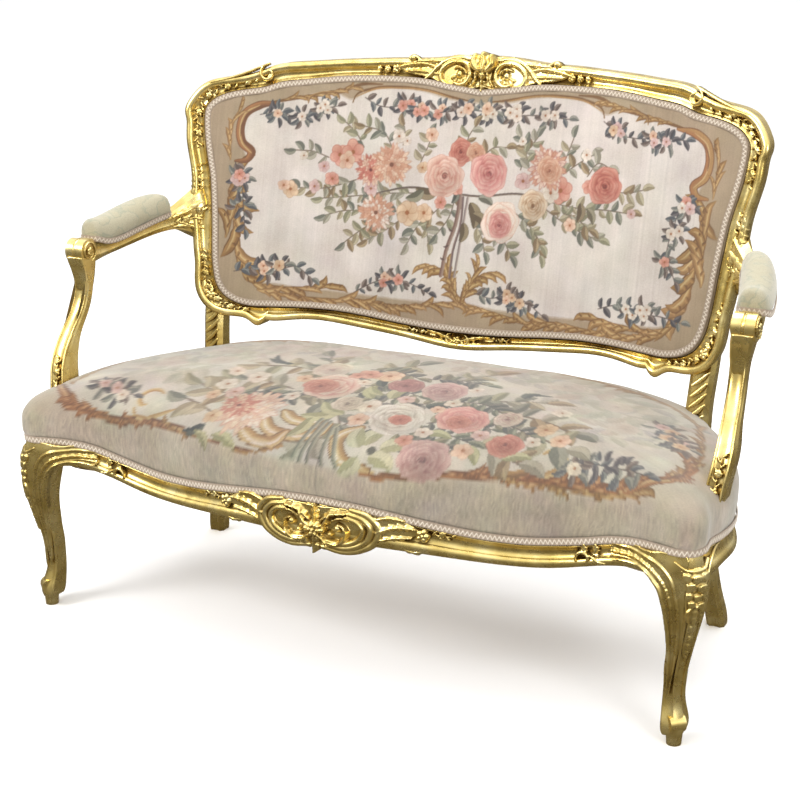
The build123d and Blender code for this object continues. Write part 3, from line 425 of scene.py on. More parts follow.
    def scrollwork(self, points, width, tones, reach, side=0):
        """Leaf scroll: long leaves that leave a line in turn and roll their tips out of it."""
        light, mid, dark = (np.asarray(t) for t in tones)
        rng = self.rng
        line = curve_through(points, 3)
        self.stroke(points, width * 0.60, dark, tip=0.3)
        self.stroke(points, width * 0.42, mid, tip=0.3)
        along = unit(np.gradient(line, axis=0))
        starts, at = [], 0.0
        while at < len(line) * 3 - reach * 0.25:
            starts.append(int(at / 3))
            at += reach * rng.uniform(0.34, 0.62)
        for n, i in reversed(list(enumerate(starts))):
            length = reach * rng.uniform(0.80, 1.25)
            hand = side if side and n % 3 else (1, -1)[n % 2]
            turn = rng.uniform(1.0, 2.3) * width
            curl = []
            for t in np.linspace(0, 1, 8):
                j = min(i + int(t * length / 3), len(line) - 1)
                past = max(i * 3 + t * length - (len(line) - 1) * 3, 0)
                out = np.array([-along[j][1], along[j][0]]) * hand
                back = along[j] * length * 0.16 * max(t - 0.72, 0) / 0.28
                roll = out * (turn * t ** 2.0 - width * 0.10)
                curl.append(line[j] + along[j] * past + roll - back)
            tint = rng.uniform(-0.05, 0.04)
            wide = width * rng.uniform(0.75, 1.1)
            self.stroke(curl, wide, dark + tint, tip=0.05)
            self.stroke(curl, wide * 0.76, mid + tint, dark * 0.5 + mid * 0.5 + tint, tip=0.05)
            self.stroke(curl[:7], wide * 0.36, light + tint, mid + tint, tip=0.0)
            for split in (2, 4):
                base = curl[split]
                out = np.array([-along[i][1], along[i][0]]) * hand * wide * 0.55
                lobe = base + (curl[split + 1] - curl[split]) * 0.9 - out
                self.stroke([base, (base + lobe) / 2, lobe], wide * 0.42, mid + tint, dark + tint,
                            tip=0.1)

    def mixed(self, x, z):
        """Colours at drawing points, blended from the nearest threads."""
        c = np.clip((x - self.left) / self.step, 0, self.x.shape[1] - 1.001)
        r = np.clip((z - self.low) / self.step, 0, self.x.shape[0] - 1.001)
        ci, ri = c.astype(int), r.astype(int)
        cf, rf = (c - ci)[:, None], (r - ri)[:, None]
        image = self.colour
        return ((image[ri, ci] * (1 - cf) + image[ri, ci + 1] * cf) * (1 - rf)
                + (image[ri + 1, ci] * (1 - cf) + image[ri + 1, ci + 1] * cf) * rf)

    def ground(self, outline, colour, soft=3):
        """Fills an outline, its edge softened over a few threads."""
        cover = inside(outline, self.x, self.z).astype(float)
        for _ in range(soft):
            for axis in (0, 1):
                cover = (np.roll(cover, 2, axis) + cover + np.roll(cover, -2, axis)) / 3
        self.lay((slice(None), slice(None)), cover, colour)

    def faded(self, amount, spread, seed):
        """Uneven fading and soiling of the old silk, in soft patches."""
        rng = np.random.default_rng(seed)
        rows, columns = self.x.shape
        for size, share in ((spread, 1.0), (spread * 0.35, 0.6)):
            coarse = rng.normal(0, 1, (int(rows / size) + 3, int(columns / size) + 3, 3))
            coarse = coarse.mean(2, keepdims=True) * 1.2 + coarse * 0.45
            r, c = np.arange(rows) / size, np.arange(columns) / size
            ri, ci = r.astype(int), c.astype(int)
            rf, cf = (r - ri)[:, None, None], (c - ci)[None, :, None]
            rf, cf = rf * rf * (3 - 2 * rf), cf * cf * (3 - 2 * cf)
            top = coarse[ri][:, ci] * (1 - cf) + coarse[ri][:, ci + 1] * cf
            low = coarse[ri + 1][:, ci] * (1 - cf) + coarse[ri + 1][:, ci + 1] * cf
            self.colour *= 1 + amount * share * (top * (1 - rf) + low * rf)


CREAM, TAUPE = (0.870, 0.825, 0.775), (0.680, 0.595, 0.475)
OCHRE = ((0.81, 0.70, 0.49), (0.69, 0.53, 0.32), (0.49, 0.35, 0.20))
RUSSET = ((0.79, 0.61, 0.42), (0.66, 0.45, 0.27), (0.47, 0.30, 0.18))
GREEN_LEAVES = [((0.73, 0.70, 0.57), (0.57, 0.55, 0.43)), ((0.79, 0.74, 0.61), (0.65, 0.59, 0.46)),
                ((0.63, 0.62, 0.54), (0.46, 0.46, 0.40)), ((0.72, 0.63, 0.48), (0.56, 0.46, 0.33)),
                ((0.76, 0.73, 0.64), (0.61, 0.58, 0.49))]
BLUE_LEAVES = [((0.54, 0.54, 0.52), (0.36, 0.37, 0.38)), ((0.64, 0.63, 0.57), (0.46, 0.46, 0.43)),
               ((0.46, 0.43, 0.42), (0.31, 0.29, 0.30)), ((0.58, 0.51, 0.46), (0.42, 0.35, 0.31))]
TWIG, BRANCH, BLOSSOM_HEART = (0.38, 0.32, 0.29), (0.48, 0.41, 0.34), (0.62, 0.38, 0.22)
ROSE_PINK = ((0.69, 0.37, 0.35), (0.84, 0.59, 0.54), (0.91, 0.76, 0.69))
ROSE_CREAM = ((0.73, 0.47, 0.40), (0.87, 0.70, 0.61), (0.92, 0.82, 0.74))
CORAL = ((0.62, 0.30, 0.25), (0.79, 0.50, 0.42), (0.88, 0.68, 0.59))
PEACH = ((0.70, 0.44, 0.33), (0.84, 0.65, 0.53), (0.91, 0.80, 0.69))
MAUVE = ((0.62, 0.42, 0.41), (0.77, 0.61, 0.58), (0.87, 0.76, 0.71))
PEARL = ((0.66, 0.56, 0.49), (0.83, 0.76, 0.68), (0.92, 0.87, 0.80))
SEAT_CREAM = (0.825, 0.795, 0.735)
TAN = ((0.62, 0.44, 0.30), (0.78, 0.63, 0.48), (0.87, 0.76, 0.63))


def garland(web, places, size, petals, twig):
    """A trail of small flower knots with dark leaves, hung along the border."""
    web.spray(twig, size * 0.9, BLUE_LEAVES, TWIG, every=1.15)
    for x, z, count in places:
        web.posy(x, z, size, petals, BLUE_LEAVES, count)


def back_tapestry():
    """Bouquet on a pale field, within a leaf scroll and a band of plain silk."""
    web = Weaving(-575, 478, 575, 968, TAUPE, 5)
    field = [(0, 915), (60, 919), (120, 932), (190, 935), (240, 926), (262, 912), (300, 924),
             (370, 913), (430, 898), (462, 882), (478, 850), (470, 806), (462, 790), (474, 760),
             (476, 700), (466, 640), (452, 590), (430, 563), (370, 552), (270, 546), (150, 540),
             (70, 540), (0, 545)]
    field = curve_through(both_halves(field).tolist() + [field[0]], 6)
    web.ground(field, CREAM, 1)
    scrolls = [             # right half of each leaf scroll; its width, its leaves' reach and side
        ([(478, 770), (482, 730), (476, 690), (470, 640), (458, 592), (440, 566)], 21, 66, -1),
        ([(492, 640), (486, 690), (488, 735), (480, 772)], 17, 60, 1),
        ([(452, 572), (425, 552), (380, 545), (330, 546), (262, 556)], 14, 50, 1),
        ([(420, 540), (350, 530), (280, 527), (200, 530), (140, 524)], 13, 52, 1),
        ([(205, 530), (150, 524), (90, 530), (40, 538), (4, 545)], 12, 46, 1),
        ([(2, 540), (14, 566), (30, 590), (52, 603), (78, 609)], 13, 40, -1),
        ([(4, 546), (16, 576), (28, 600), (34, 626)], 10, 36, 1)]
    top_lines = [
        ([(20, 918), (60, 924), (110, 934), (170, 938), (220, 934), (258, 918), (262, 906)], 5, 2),
        ([(60, 922), (110, 933), (170, 936), (220, 932), (256, 917)], 3, 1),
        ([(205, 942), (250, 940), (285, 926), (330, 918), (392, 908), (440, 899)], 6, 2)]
    corner = ((412, 900), (448, 896), (474, 880), (482, 850), (476, 824), (456, 804), (462, 792),
              (486, 788))
    for side in (1, -1):
        at = on_side(side)
        for points, width, reach, hand in scrolls:
            web.scrollwork(at(*points), width, OCHRE, reach, hand * side)
        for points, width, tone in top_lines:
            web.stroke(at(*points), width, OCHRE[tone])
        web.scrollwork(at((400, 908), (340, 918), (290, 928), (250, 936)), 8, OCHRE, 40, side)
        web.stroke(at((300, 924), (330, 922), (350, 912), (352, 902)), 4, OCHRE[1], OCHRE[2])
        web.stroke(at(*corner), 17, RUSSET[2], tip=0.25)
        web.stroke(at(*corner), 14, RUSSET[1], OCHRE[1] if side > 0 else RUSSET[2], tip=0.2)
        web.stroke(at(*corner[1:6]), 4, OCHRE[0], OCHRE[1])
        web.stroke(at((468, 880), (480, 858), (480, 836)), 1.6, RUSSET[2])
        web.scrollwork(at((496, 790), (500, 830), (498, 860), (486, 888)), 9, OCHRE, 44, -side)
    for places, size, petals, twig in (
            ([(-411, 881, 1), (-362, 876, 1), (-318, 894, 3)], 21, [PEARL, PEARL, PEACH],
             [(-446, 878), (-410, 884), (-362, 872), (-320, 892), (-292, 898)]),
            ([(-150, 906, 2), (-122, 898, 3), (-78, 896, 2)], 22, [CORAL, PEARL, PEACH],
             [(-238, 916), (-210, 902), (-180, 900), (-150, 908), (-110, 892)]),
            ([(-28, 900, 2), (22, 900, 3), (76, 902, 3), (150, 902, 2)], 23, [PEARL, PEACH, PEARL],
             [(-80, 894), (-20, 902), (60, 896), (120, 900), (190, 898)]),
            ([(292, 886, 3), (368, 878, 2), (392, 876, 1)], 21, [PEACH, MAUVE, TAN],
             [(262, 900), (290, 882), (330, 876), (370, 880), (432, 882)]),
            ([(-474, 756, 4), (-466, 700, 0)], 23, [CORAL, CORAL, MAUVE],
             [(-486, 786), (-470, 742), (-462, 700), (-456, 656)]),
            ([(446, 771, 3), (430, 724, 2), (416, 671, 1)], 22, [PEARL, MAUVE, CORAL],
             [(478, 776), (440, 768), (424, 724), (418, 690), (440, 640)]),
            ([(-404, 582, 3), (-380, 588, 1)], 23, [PEACH, PEARL, TAN],
             [(-470, 574), (-430, 582), (-384, 580), (-346, 588), (-312, 566)]),
            ([(-160, 574, 3), (-132, 576, 1)], 21, [PEACH, CORAL],
             [(-222, 546), (-195, 562), (-150, 578), (-110, 572), (-66, 556)]),
            ([(102, 566, 3), (128, 558, 1)], 21, [PEACH, TAN],
             [(30, 566), (64, 560), (104, 570), (140, 562), (176, 542)]),
            ([(356, 574, 2), (386, 578, 3)], 22, [PEARL, PEARL, TAN],
             [(292, 570), (330, 582), (376, 574), (420, 576), (462, 572)])):
        garland(web, places, size, petals, twig)
    bouquet_leaves = [
        [(-110, 742), (-170, 738), (-250, 728), (-305, 722)],
        [(-120, 720), (-180, 690), (-225, 662), (-252, 640)],
        [(-200, 700), (-260, 700), (-296, 690)], [(-140, 690), (-170, 668), (-205, 648)],
        [(-90, 700), (-110, 670), (-122, 646)], [(-240, 760), (-300, 742), (-360, 740)],
        [(-300, 800), (-330, 810), (-368, 812)], [(-230, 822), (-250, 850), (-272, 868)],
        [(-170, 820), (-190, 850), (-232, 862)], [(-150, 830), (-148, 850), (-152, 866)],
        [(-110, 800), (-98, 830), (-92, 850)], [(-20, 830), (-14, 856), (-4, 872)],
        [(20, 820), (40, 836), (66, 838)], [(100, 800), (112, 836), (130, 862)],
        [(120, 800), (104, 840), (96, 860)], [(180, 800), (196, 840), (204, 866)],
        [(190, 800), (226, 826), (246, 838)], [(240, 800), (262, 826), (282, 820)],
        [(290, 780), (326, 780), (356, 788)], [(160, 748), (230, 742), (290, 745), (336, 744)],
        [(150, 740), (196, 716), (240, 700), (278, 690)], [(110, 700), (150, 682), (160, 650)],
        [(100, 720), (140, 692), (158, 668)], [(60, 690), (84, 664), (98, 642)],
        [(10, 700), (34, 670), (42, 644)], [(200, 730), (226, 724), (256, 706)],
        [(-60, 720), (-84, 690), (-78, 652)], [(-30, 740), (-40, 700), (-62, 668)],
    ]
    for points in bouquet_leaves:
        web.spray(points, 25, GREEN_LEAVES, BRANCH)
    web.stroke([(-205, 735), (-120, 752), (-60, 748), (20, 745), (100, 756), (160, 752)], 4,
               BRANCH, TWIG)
    for stem, width, colour, shade in (
            ([(-20, 745), (-24, 690), (-38, 640), (-44, 592)], 8, (0.47, 0.34, 0.29),
             (0.62, 0.52, 0.45)),
            ([(-14, 740), (-14, 690), (-24, 640), (-26, 590)], 5, (0.56, 0.46, 0.42),
             (0.40, 0.32, 0.30)),
            ([(-4, 740), (-8, 690), (-12, 640), (-16, 592)], 5, (0.50, 0.44, 0.41),
             (0.70, 0.63, 0.58))):
        web.stroke(stem, width, colour, shade, tip=0.9)
    for x, z, angle, long in ((-34, 650, 200, 12), (-28, 676, 150, 12), (-40, 622, 160, 10),
                              (-14, 660, 20, 12)):
        web.leaf(x, z, angle, long, 4, (0.50, 0.38, 0.33), (0.40, 0.30, 0.27))
    for x, z, angle, long, tone in (
            (2, 732, -75, 50, 3), (10, 712, -40, 40, 3), (-8, 694, -95, 38, 3),
            (18, 742, -20, 34, 4), (-70, 744, 170, 46, 3), (-98, 748, 205, 40, 0),
            (232, 752, -95, 36, 3), (246, 744, -60, 32, 1), (-28, 752, 250, 26, 2)):
        light, dark = GREEN_LEAVES[tone]
        web.leaf(x, z, angle, long, long * 0.5, np.multiply(light, 0.86), np.multiply(dark, 0.74))
    for x, z, r, tones in (
            (-372, 737, 17, TAN), (-386, 744, 12, PEACH), (-289, 760, 15, CORAL),
            (-324, 744, 13, MAUVE), (-308, 783, 12, MAUVE), (-351, 802, 9, PEARL),
            (-92, 852, 15, PEACH), (-160, 846, 15, PEARL), (-142, 838, 10, PEARL),
            (-105, 790, 12, TAN), (99, 852, 9, PEARL), (338, 744, 10, MAUVE), (215, 710, 13, PEACH),
            (234, 838, 12, PEARL), (245, 783, 14, CORAL), (-208, 745, 14, MAUVE),
            (-93, 706, 20, TAN), (-128, 704, 26, TAN), (-60, 728, 13, CORAL), (188, 770, 24, CORAL),
            (108, 780, 18, MAUVE), (168, 764, 18, PEARL), (-30, 756, 14, CORAL)):
        web.blossom(x, z, r, tones, count=6)
    for x, z, r, tones in ((-278, 806, 22, CORAL), (-252, 812, 24, CORAL), (-262, 796, 18, PEACH)):
        web.blossom(x, z, r, tones, count=5)
    for flower, x, z, radius, tones in (
            (web.fringed, -212, 780, 32, [CORAL[0], CORAL[1], PEACH[2]]),
            (web.fringed, -170, 792, 42, PEACH),
            (web.fringed, -193, 700, 38, [PEACH[0], PEACH[1], PEARL[2]]),
            (web.rose, -28, 824, 26, CORAL), (web.rose, 4, 824, 20, PEACH),
            (web.rose, 134, 738, 30, [TAN[0], TAN[2], PEARL[2]]),
            (web.rose, 68, 702, 40, [CORAL[1], ROSE_CREAM[2], PEARL[2]]),
            (web.rose, 68, 696, 25, ROSE_PINK), (web.rose, -57, 777, 43, ROSE_CREAM),
            (web.rose, 34, 788, 42, ROSE_PINK),
            (web.fringed, 156, 808, 43, [CORAL[0], PEACH[1], ROSE_CREAM[2]]),
            (web.rose, 160, 804, 26, PEACH), (web.rose, 279, 787, 36, CORAL)):
        flower(x, z, radius, tones)
    web.faded(0.010, 60, 8)
    return web


def seat_tapestry():
    """Large bouquet on a pale field; below the scroll the silk runs down to the rail."""
    web = Weaving(-745, -480, 745, 265, (0.790, 0.740, 0.655), 9)
    front = [(-575, -262), (-540, -290), (-470, -296), (-400, -288), (-330, -298), (-250, -318),
             (-160, -340), (-50, -352), (90, -356), (160, -338), (230, -310), (330, -284),
             (420, -272), (520, -268), (575, -250)]
    field = curve_through(front + [(588, -200), (585, -110), (560, -20), (520, 60), (450, 110),
                                   (250, 126), (0, 132), (-250, 126), (-450, 110), (-520, 60),
                                   (-560, -20), (-585, -110), (-588, -200), front[0]], 8)
    web.ground(field, SEAT_CREAM)
    worn = [((0.74, 0.74, 0.66), (0.68, 0.68, 0.60)), ((0.80, 0.73, 0.66), (0.74, 0.66, 0.59)),
            ((0.79, 0.77, 0.68), (0.72, 0.70, 0.60)), ((0.75, 0.72, 0.70), (0.68, 0.65, 0.63))]
    for side in (1, -1):
        for points in (
                [(60, 20), (170, 40), (280, 30), (380, 40)],
                [(120, 80), (240, 84), (360, 70), (450, 40)],
                [(250, -40), (360, -20), (450, -30), (520, 0)],
                [(330, -110), (430, -90), (510, -80)], [(20, 60), (60, 100), (140, 110)],
                [(300, -170), (400, -160), (480, -150)]):
            web.spray(on_side(side)(*points), 52, worn, (0.68, 0.66, 0.58), every=0.9)
        for x, y, r in ((150, 60, 34), (290, 50, 36), (400, 0, 34), (450, -100, 30), (90, 95, 26),
                        (350, -70, 30)):
            web.rose(side * x, y, r, [(0.72, 0.62, 0.57), (0.80, 0.73, 0.67), (0.84, 0.79, 0.73)])
    web.lay((slice(None), slice(None)), inside(field, web.x, web.z) * 0.45, SEAT_CREAM)
    for side in (1, -1):
        for points, width, reach in (
                (((572, -250), (592, -190), (590, -120), (574, -60)), 12, 54),
                (((578, -70), (556, -10), (524, 52), (470, 100), (400, 118)), 12, 54),
                (((420, 118), (320, 124), (200, 130), (90, 132), (0, 128)), 11, 50)):
            web.scrollwork(on_side(side)(*points), width, OCHRE, reach, side)
    left_rim = [(-650, -190), (-606, -240), (-556, -280), (-500, -288), (-450, -296), (-392, -290),
                (-330, -298), (-276, -314), (-210, -334)]
    right_rim = [(110, -352), (170, -338), (236, -312), (310, -292), (380, -278), (460, -272),
                 (530, -268), (580, -250), (596, -200), (590, -150)]
    for rim in (left_rim, right_rim):
        web.stroke(rim, 19, RUSSET[2], tip=0.35)
        web.stroke(rim, 15, RUSSET[1], RUSSET[2], tip=0.3)
        web.stroke(rim, 5, OCHRE[0], RUSSET[0], tip=0.2)
    web.scrollwork(left_rim[2:7][::-1], 13, RUSSET, 46, 1)
    web.scrollwork([(-250, -316), (-300, -306), (-344, -292)], 12, OCHRE, 44, 1)
    web.scrollwork([(-470, -284), (-510, -282), (-548, -296)], 12, RUSSET, 40, -1)
    for line, width, colour, shade in (
            (arc(-404, -242, (28, 12), 40, 280, 12), 9, OCHRE[0], OCHRE[1]),
            ([(-424, -262), (-410, -280), (-372, -276), (-336, -262)], 9, OCHRE[0], OCHRE[1]),
            ([(-126, -344), (-90, -326), (-60, -306), (-58, -290), (-74, -288)], 12, OCHRE[1],
             OCHRE[2]),
            ([(-190, -330), (-158, -346), (-128, -340)], 12, OCHRE[1], RUSSET[2]),
            ([(0, -286), (30, -318), (70, -346), (110, -356), (150, -342)], 15, RUSSET[1],
             RUSSET[2]),
            ([(4, -290), (34, -318), (70, -340), (110, -350)], 5, OCHRE[0], None),
            (arc(6, -276, (20, 8), -60, -300, 10), 8, OCHRE[0], OCHRE[1])):
        web.stroke(line, width, colour, shade)
    web.scrollwork(right_rim[2:7], 13, RUSSET, 50, 1)
    web.scrollwork([(300, -298), (390, -288), (470, -284), (540, -276)], 10, OCHRE, 44, -1)
    web.scrollwork([(560, -262), (590, -236), (592, -190), (570, -150)], 11, RUSSET, 42, -1)
    web.stroke(arc(372, -236, (34, 14), -100, 150, 14), 12, OCHRE[0], OCHRE[1])
    web.stroke([(352, -268), (330, -280), (300, -290)], 12, OCHRE[1], OCHRE[2])
    garland(web, [(420, -246, 1), (460, -236, 0), (500, -246, 0)], 26, [PEARL, MAUVE],
            [(396, -250), (440, -234), (490, -240), (546, -256)])
    garland(web, [(506, -50, 2), (534, -90, 2), (552, -110, 1)], 30, [MAUVE, TAN],
            [(490, -20), (520, -70), (560, -130)])
    garland(web, [(-506, -232, 1), (-470, -236, 2)], 26, [PEARL, MAUVE],
            [(-540, -240), (-500, -226), (-440, -238)])
    bouquet_leaves = [
        [(-60, -120), (-130, -80), (-200, -70), (-260, -84)],
        [(-150, -160), (-220, -140), (-290, -150)], [(-120, -60), (-150, -20), (-170, 20)],
        [(0, -60), (-20, -10), (10, 30)], [(100, -50), (130, 0), (160, 40)],
        [(160, -100), (240, -90), (300, -70)], [(230, -130), (320, -140), (390, -170)],
        [(260, -190), (330, -190), (390, -210)], [(-240, -200), (-290, -200), (-330, -180)],
        [(-260, -260), (-300, -240), (-330, -230)], [(10, -250), (-10, -290), (-40, -320)],
        [(-80, -180), (-20, -230), (0, -260)], [(240, -230), (280, -250), (330, -262)],
    ]
    for points in bouquet_leaves:
        web.spray(points, 50, GREEN_LEAVES, BRANCH)
    for shell in (
            [(-150, -258), (-124, -290), (-74, -302), (-28, -286), (-20, -262)],
            [(40, -258), (14, -290), (34, -330), (92, -346)],
            [(-176, -296), (-134, -318), (-96, -316), (-86, -296)],
            [(-120, -240), (-90, -262), (-52, -262), (-40, -244)]):
        web.stroke(shell, 26, OCHRE[2], tip=0.5)
        web.stroke(shell, 22, OCHRE[0], OCHRE[1], tip=0.4)
        web.stroke(shell, 9, PEARL[2], OCHRE[0], tip=0.3)
    undergrowth = [((0.60, 0.60, 0.50), (0.40, 0.41, 0.34)),
                   ((0.52, 0.50, 0.45), (0.33, 0.33, 0.31)),
                   ((0.66, 0.62, 0.50), (0.49, 0.46, 0.36))]
    for start, end in (
            ((-150, -200), (-60, -190)), ((-60, -210), (30, -180)), ((30, -250), (130, -230)),
            ((120, -250), (230, -240)), ((-40, -150), (60, -150)), ((60, -170), (160, -150)),
            ((140, -210), (250, -190)), ((-150, -110), (-60, -90)), ((-30, -110), (80, -120)),
            ((150, -120), (240, -130)), ((-240, -200), (-150, -190)), ((230, -180), (320, -190)),
            ((-60, -30), (40, -40)), ((100, -290), (210, -270)), ((60, -40), (170, -30))):
        middle = ((start[0] + end[0]) / 2, (start[1] + end[1]) / 2 + 14)
        web.spray([start, middle, end], 33, undergrowth, TWIG, every=0.7)
    dark = [((0.36, 0.38, 0.33), (0.22, 0.24, 0.22)), ((0.46, 0.47, 0.42), (0.30, 0.31, 0.28))]
    for x, y, angle, long in (
            (-158, -196, 150, 44), (-150, -206, 200, 36), (0, -104, 100, 46), (14, -112, 60, 40),
            (112, -158, 20, 46), (104, -160, 150, 36), (-10, -200, 190, 40), (-40, -206, 240, 34),
            (-212, -66, 135, 80), (-206, -60, 160, 70), (250, -66, 40, 60), (256, -70, 70, 46),
            (-252, -290, 200, 50), (70, -252, 220, 40)):
        light, shade = dark[int(abs(x)) % 2]
        web.leaf(x, y, angle, long, long * (0.18 if long > 55 else 0.46), light, shade)
    pale_green = ((0.80, 0.78, 0.60), (0.63, 0.62, 0.44))
    for x, y, angle, long in (
            (-20, -222, 200, 70), (-10, -226, 150, 66), (10, -160, 110, 62), (40, -150, 80, 66),
            (20, -140, 140, 50), (-60, -250, 250, 60), (150, -240, 0, 50), (220, -250, 320, 56),
            (-270, -300, 300, 56), (-230, -312, 330, 66), (300, -262, 20, 50)):
        web.leaf(x, y, angle, long, long * 0.42, *pale_green)
    for line in ([(-40, -250), (-46, -300), (-50, -348)], [(-20, -255), (-24, -300), (-20, -350)],
                 [(0, -270), (16, -310), (36, -356)], [(-30, -258), (-34, -310), (-36, -352)],
                 [(-8, -270), (0, -320), (8, -356)]):
        web.stroke(line, 8, (0.42, 0.42, 0.36), (0.66, 0.65, 0.56), tip=0.9)
    for x, y, r, tones in (
            (-240, -130, 24, PEARL), (-280, -170, 22, PEARL), (-250, -195, 20, MAUVE),
            (-290, -120, 18, PEARL), (-13, -48, 30, PEACH), (-48, -56, 24, CORAL),
            (337, -165, 20, TAN), (372, -190, 18, PEACH), (340, -100, 18, PEARL),
            (20, -190, 26, PEARL), (266, -150, 20, CORAL)):
        web.blossom(x, y, r, tones, count=6)
    for flower, x, y, radius, tones in (
            (web.rose, -125, -58, 38, [MAUVE[1], PEARL[1], PEARL[2]]),
            (web.rose, 36, -82, 34, [(0.52, 0.27, 0.25), (0.68, 0.45, 0.42), (0.80, 0.62, 0.57)]),
            (web.rose, 112, -84, 44, MAUVE),
            (web.fringed, -190, -244, 66, [CORAL[1], PEACH[2], PEARL[2]]),
            (web.fringed, -216, -236, 40, [CORAL[0], CORAL[1], PEACH[2]]),
            (web.rose, -88, -130, 54, [ROSE_PINK[0], ROSE_PINK[2], PEARL[2]]),
            (web.rose, -106, -136, 34, CORAL)):
        flower(x, y, radius, tones)
    for x, y, angle in ((62, -300, 60), (60, -306, 110), (84, -318, -20), (66, -322, 240),
                        (96, -300, 20)):
        web.leaf(x, y, angle, 52, 34, (0.86, 0.84, 0.70), (0.70, 0.69, 0.52))
    web.disc(84, -306, 8, (0.34, 0.33, 0.28))
    for x, y, radius, tones in (
            (176, -300, 48, MAUVE),
            (84, -212, 56, [(0.58, 0.50, 0.44), (0.86, 0.82, 0.76), (0.93, 0.90, 0.85)]),
            (92, -216, 20, CORAL), (192, -176, 48, ROSE_PINK), (188, -188, 24, CORAL),
            (290, -226, 32, CORAL), (-22, -190, 30, [(0.56, 0.46, 0.41), PEARL[1], PEARL[2]]),
            (262, -150, 26, [MAUVE[0], PEARL[1], PEARL[2]])):
        web.rose(x, y, radius, tones)
    for x, y, r, tones in (
            (-66, -70, 17, CORAL), (-40, -96, 15, PEARL), (-150, -116, 18, PEACH),
            (150, -128, 17, PEARL), (66, -140, 18, MAUVE), (136, -160, 15, PEACH),
            (22, -236, 20, PEACH), (-136, -186, 17, PEARL), (146, -238, 17, PEARL),
            (240, -214, 18, MAUVE), (230, -262, 20, PEACH), (-250, -270, 18, TAN),
            (126, -268, 16, CORAL), (164, -58, 15, PEARL), (330, -206, 16, PEARL),
            (-286, -210, 16, TAN)):
        web.blossom(x, y, r, tones, count=5)
    web.colour = web.colour * 0.91 + np.array((0.76, 0.72, 0.66)) * 0.09
    web.faded(0.022, 46, 12)
    return web


# ---------------------------------------------------------------- surfaces of the drawings
def row_point(x, y, z):
    return np.stack([np.asarray(x) * 0.001, (np.asarray(y) + DRAWING_Y) * 0.001,
                     np.asarray(z) * 0.001], -1)


def back_y(x, z):
    return BACK_FOOT[0] + BACK_LEAN * (z - BACK_FOOT[1]) - BACK_BOW * x * x


def on_back(x, z, out):
    """A point on the curved and leaning back, out from its face along its normal."""
    lean, bow = BACK_LEAN, 2 * BACK_BOW * x
    size = np.sqrt(1 + lean ** 2 + bow ** 2)
    return row_point(x - bow * out / size, back_y(x, z) - out / size, z + lean * out / size)


def front_face(x):
    rows = np.array(FRONT_EDGE[:14])
    return np.interp(np.abs(x), rows[:, 0], rows[:, 1])


def on_front_rail(x, z, out):
    return row_point(x, front_face(x) - out, z)


def on_knee(side):
    """Maps a drawing round the knee: x counts from the middle of its canted band, + to the side."""
    def place(x, z, out):
        outer, inner, front, rear = (between(LEG_SECTIONS, z, k) for k in (1, 2, 3, 4))
        band = LEG_BAND * np.minimum(outer - inner, rear - front)
        half = band * CANT
        on = np.clip(x, -half, half)
        turn = math.pi / 4 * (np.clip(x / (1.25 * half), -1, 1) - 1)
        out = out + 0.11 * band * (1 - (on / half) ** 2)
        px = outer - band / 2 + on * CANT + np.minimum(x - on, 0) + out * np.cos(turn)
        py = front + band / 2 + on * CANT + np.maximum(x - on, 0) + out * np.sin(turn)
        return row_point(side * px, py, z)
    return place


def on_support(side):
    """Maps a drawing to the front of an arm support; x counts from its middle."""
    def place(x, z, out):
        middle, front = between(SUPPORT_SECTIONS, z, 3), between(SUPPORT_SECTIONS, z, 1)
        return row_point(side * (middle + x), front - out * 0.9, z + out * 0.35)
    return place


def on_arm(side, hand):
    """Maps a drawing of y and z to an arm's outer (+1) or inner (-1) side."""
    def place(y, z, out):
        half = np.where(y < -84, SCROLL[2], between(ARM_SECTIONS, y, 2))
        return row_point(side * (between(ARM_SECTIONS, y, 1) + hand * (half + out)), y, z)
    return place


def on_post(side):
    """Maps a drawing to the front of a rear post; x counts from its middle."""
    def place(x, z, out):
        middle, y, depth = (between(POST_SECTIONS, z, k) for k in (1, 2, 4))
        return row_point(side * (middle + x), y - depth / 2 - out, z)
    return place


# ---------------------------------------------------------------- materials
def shader(name, metallic=0.0, roughness=0.6, sheen=0.0):
    material = bpy.data.materials.new(name)
    material.use_nodes = True
    body = material.node_tree.nodes["Principled BSDF"]
    for socket, value in (("Metallic", metallic), ("Roughness", roughness),
                          ("Sheen Weight", sheen)):
        body.inputs[socket].default_value = value
    return material, material.node_tree, body


def noise(tree, scale, detail=4.0, stretch=None):
    """Noise on Object coordinates, or on stretched ones."""
    source = tree.nodes.new("ShaderNodeTexCoord").outputs["Object"]
    if stretch:
        mapping = tree.nodes.new("ShaderNodeMapping")
        mapping.inputs["Scale"].default_value = stretch
        tree.links.new(source, mapping.inputs["Vector"])
        source = mapping.outputs["Vector"]
    grain = tree.nodes.new("ShaderNodeTexNoise")
    grain.inputs["Scale"].default_value = scale
    grain.inputs["Detail"].default_value = detail
    tree.links.new(source, grain.inputs["Vector"])
    return grain.outputs["Fac"]


def point_value(tree, name, output="Fac"):
    """A value that the mesh keeps for each of its points."""
    attribute = tree.nodes.new("ShaderNodeAttribute")
    attribute.attribute_name = name
    return attribute.outputs[output]


def ramp(tree, source, stops):
    blend = tree.nodes.new("ShaderNodeValToRGB")
    while len(blend.color_ramp.elements) < len(stops):
        blend.color_ramp.elements.new(0.5)
    for element, (place, colour) in zip(blend.color_ramp.elements, stops):
        element.position = place
        element.color = tuple(colour) + (1,)
    tree.links.new(source, blend.inputs["Fac"])
    return blend.outputs["Color"]


def greys(tree, source, dark, light):
    """Grey levels from two (place, level) pairs."""
    return ramp(tree, source, [(place, (level,) * 3) for place, level in (dark, light)])


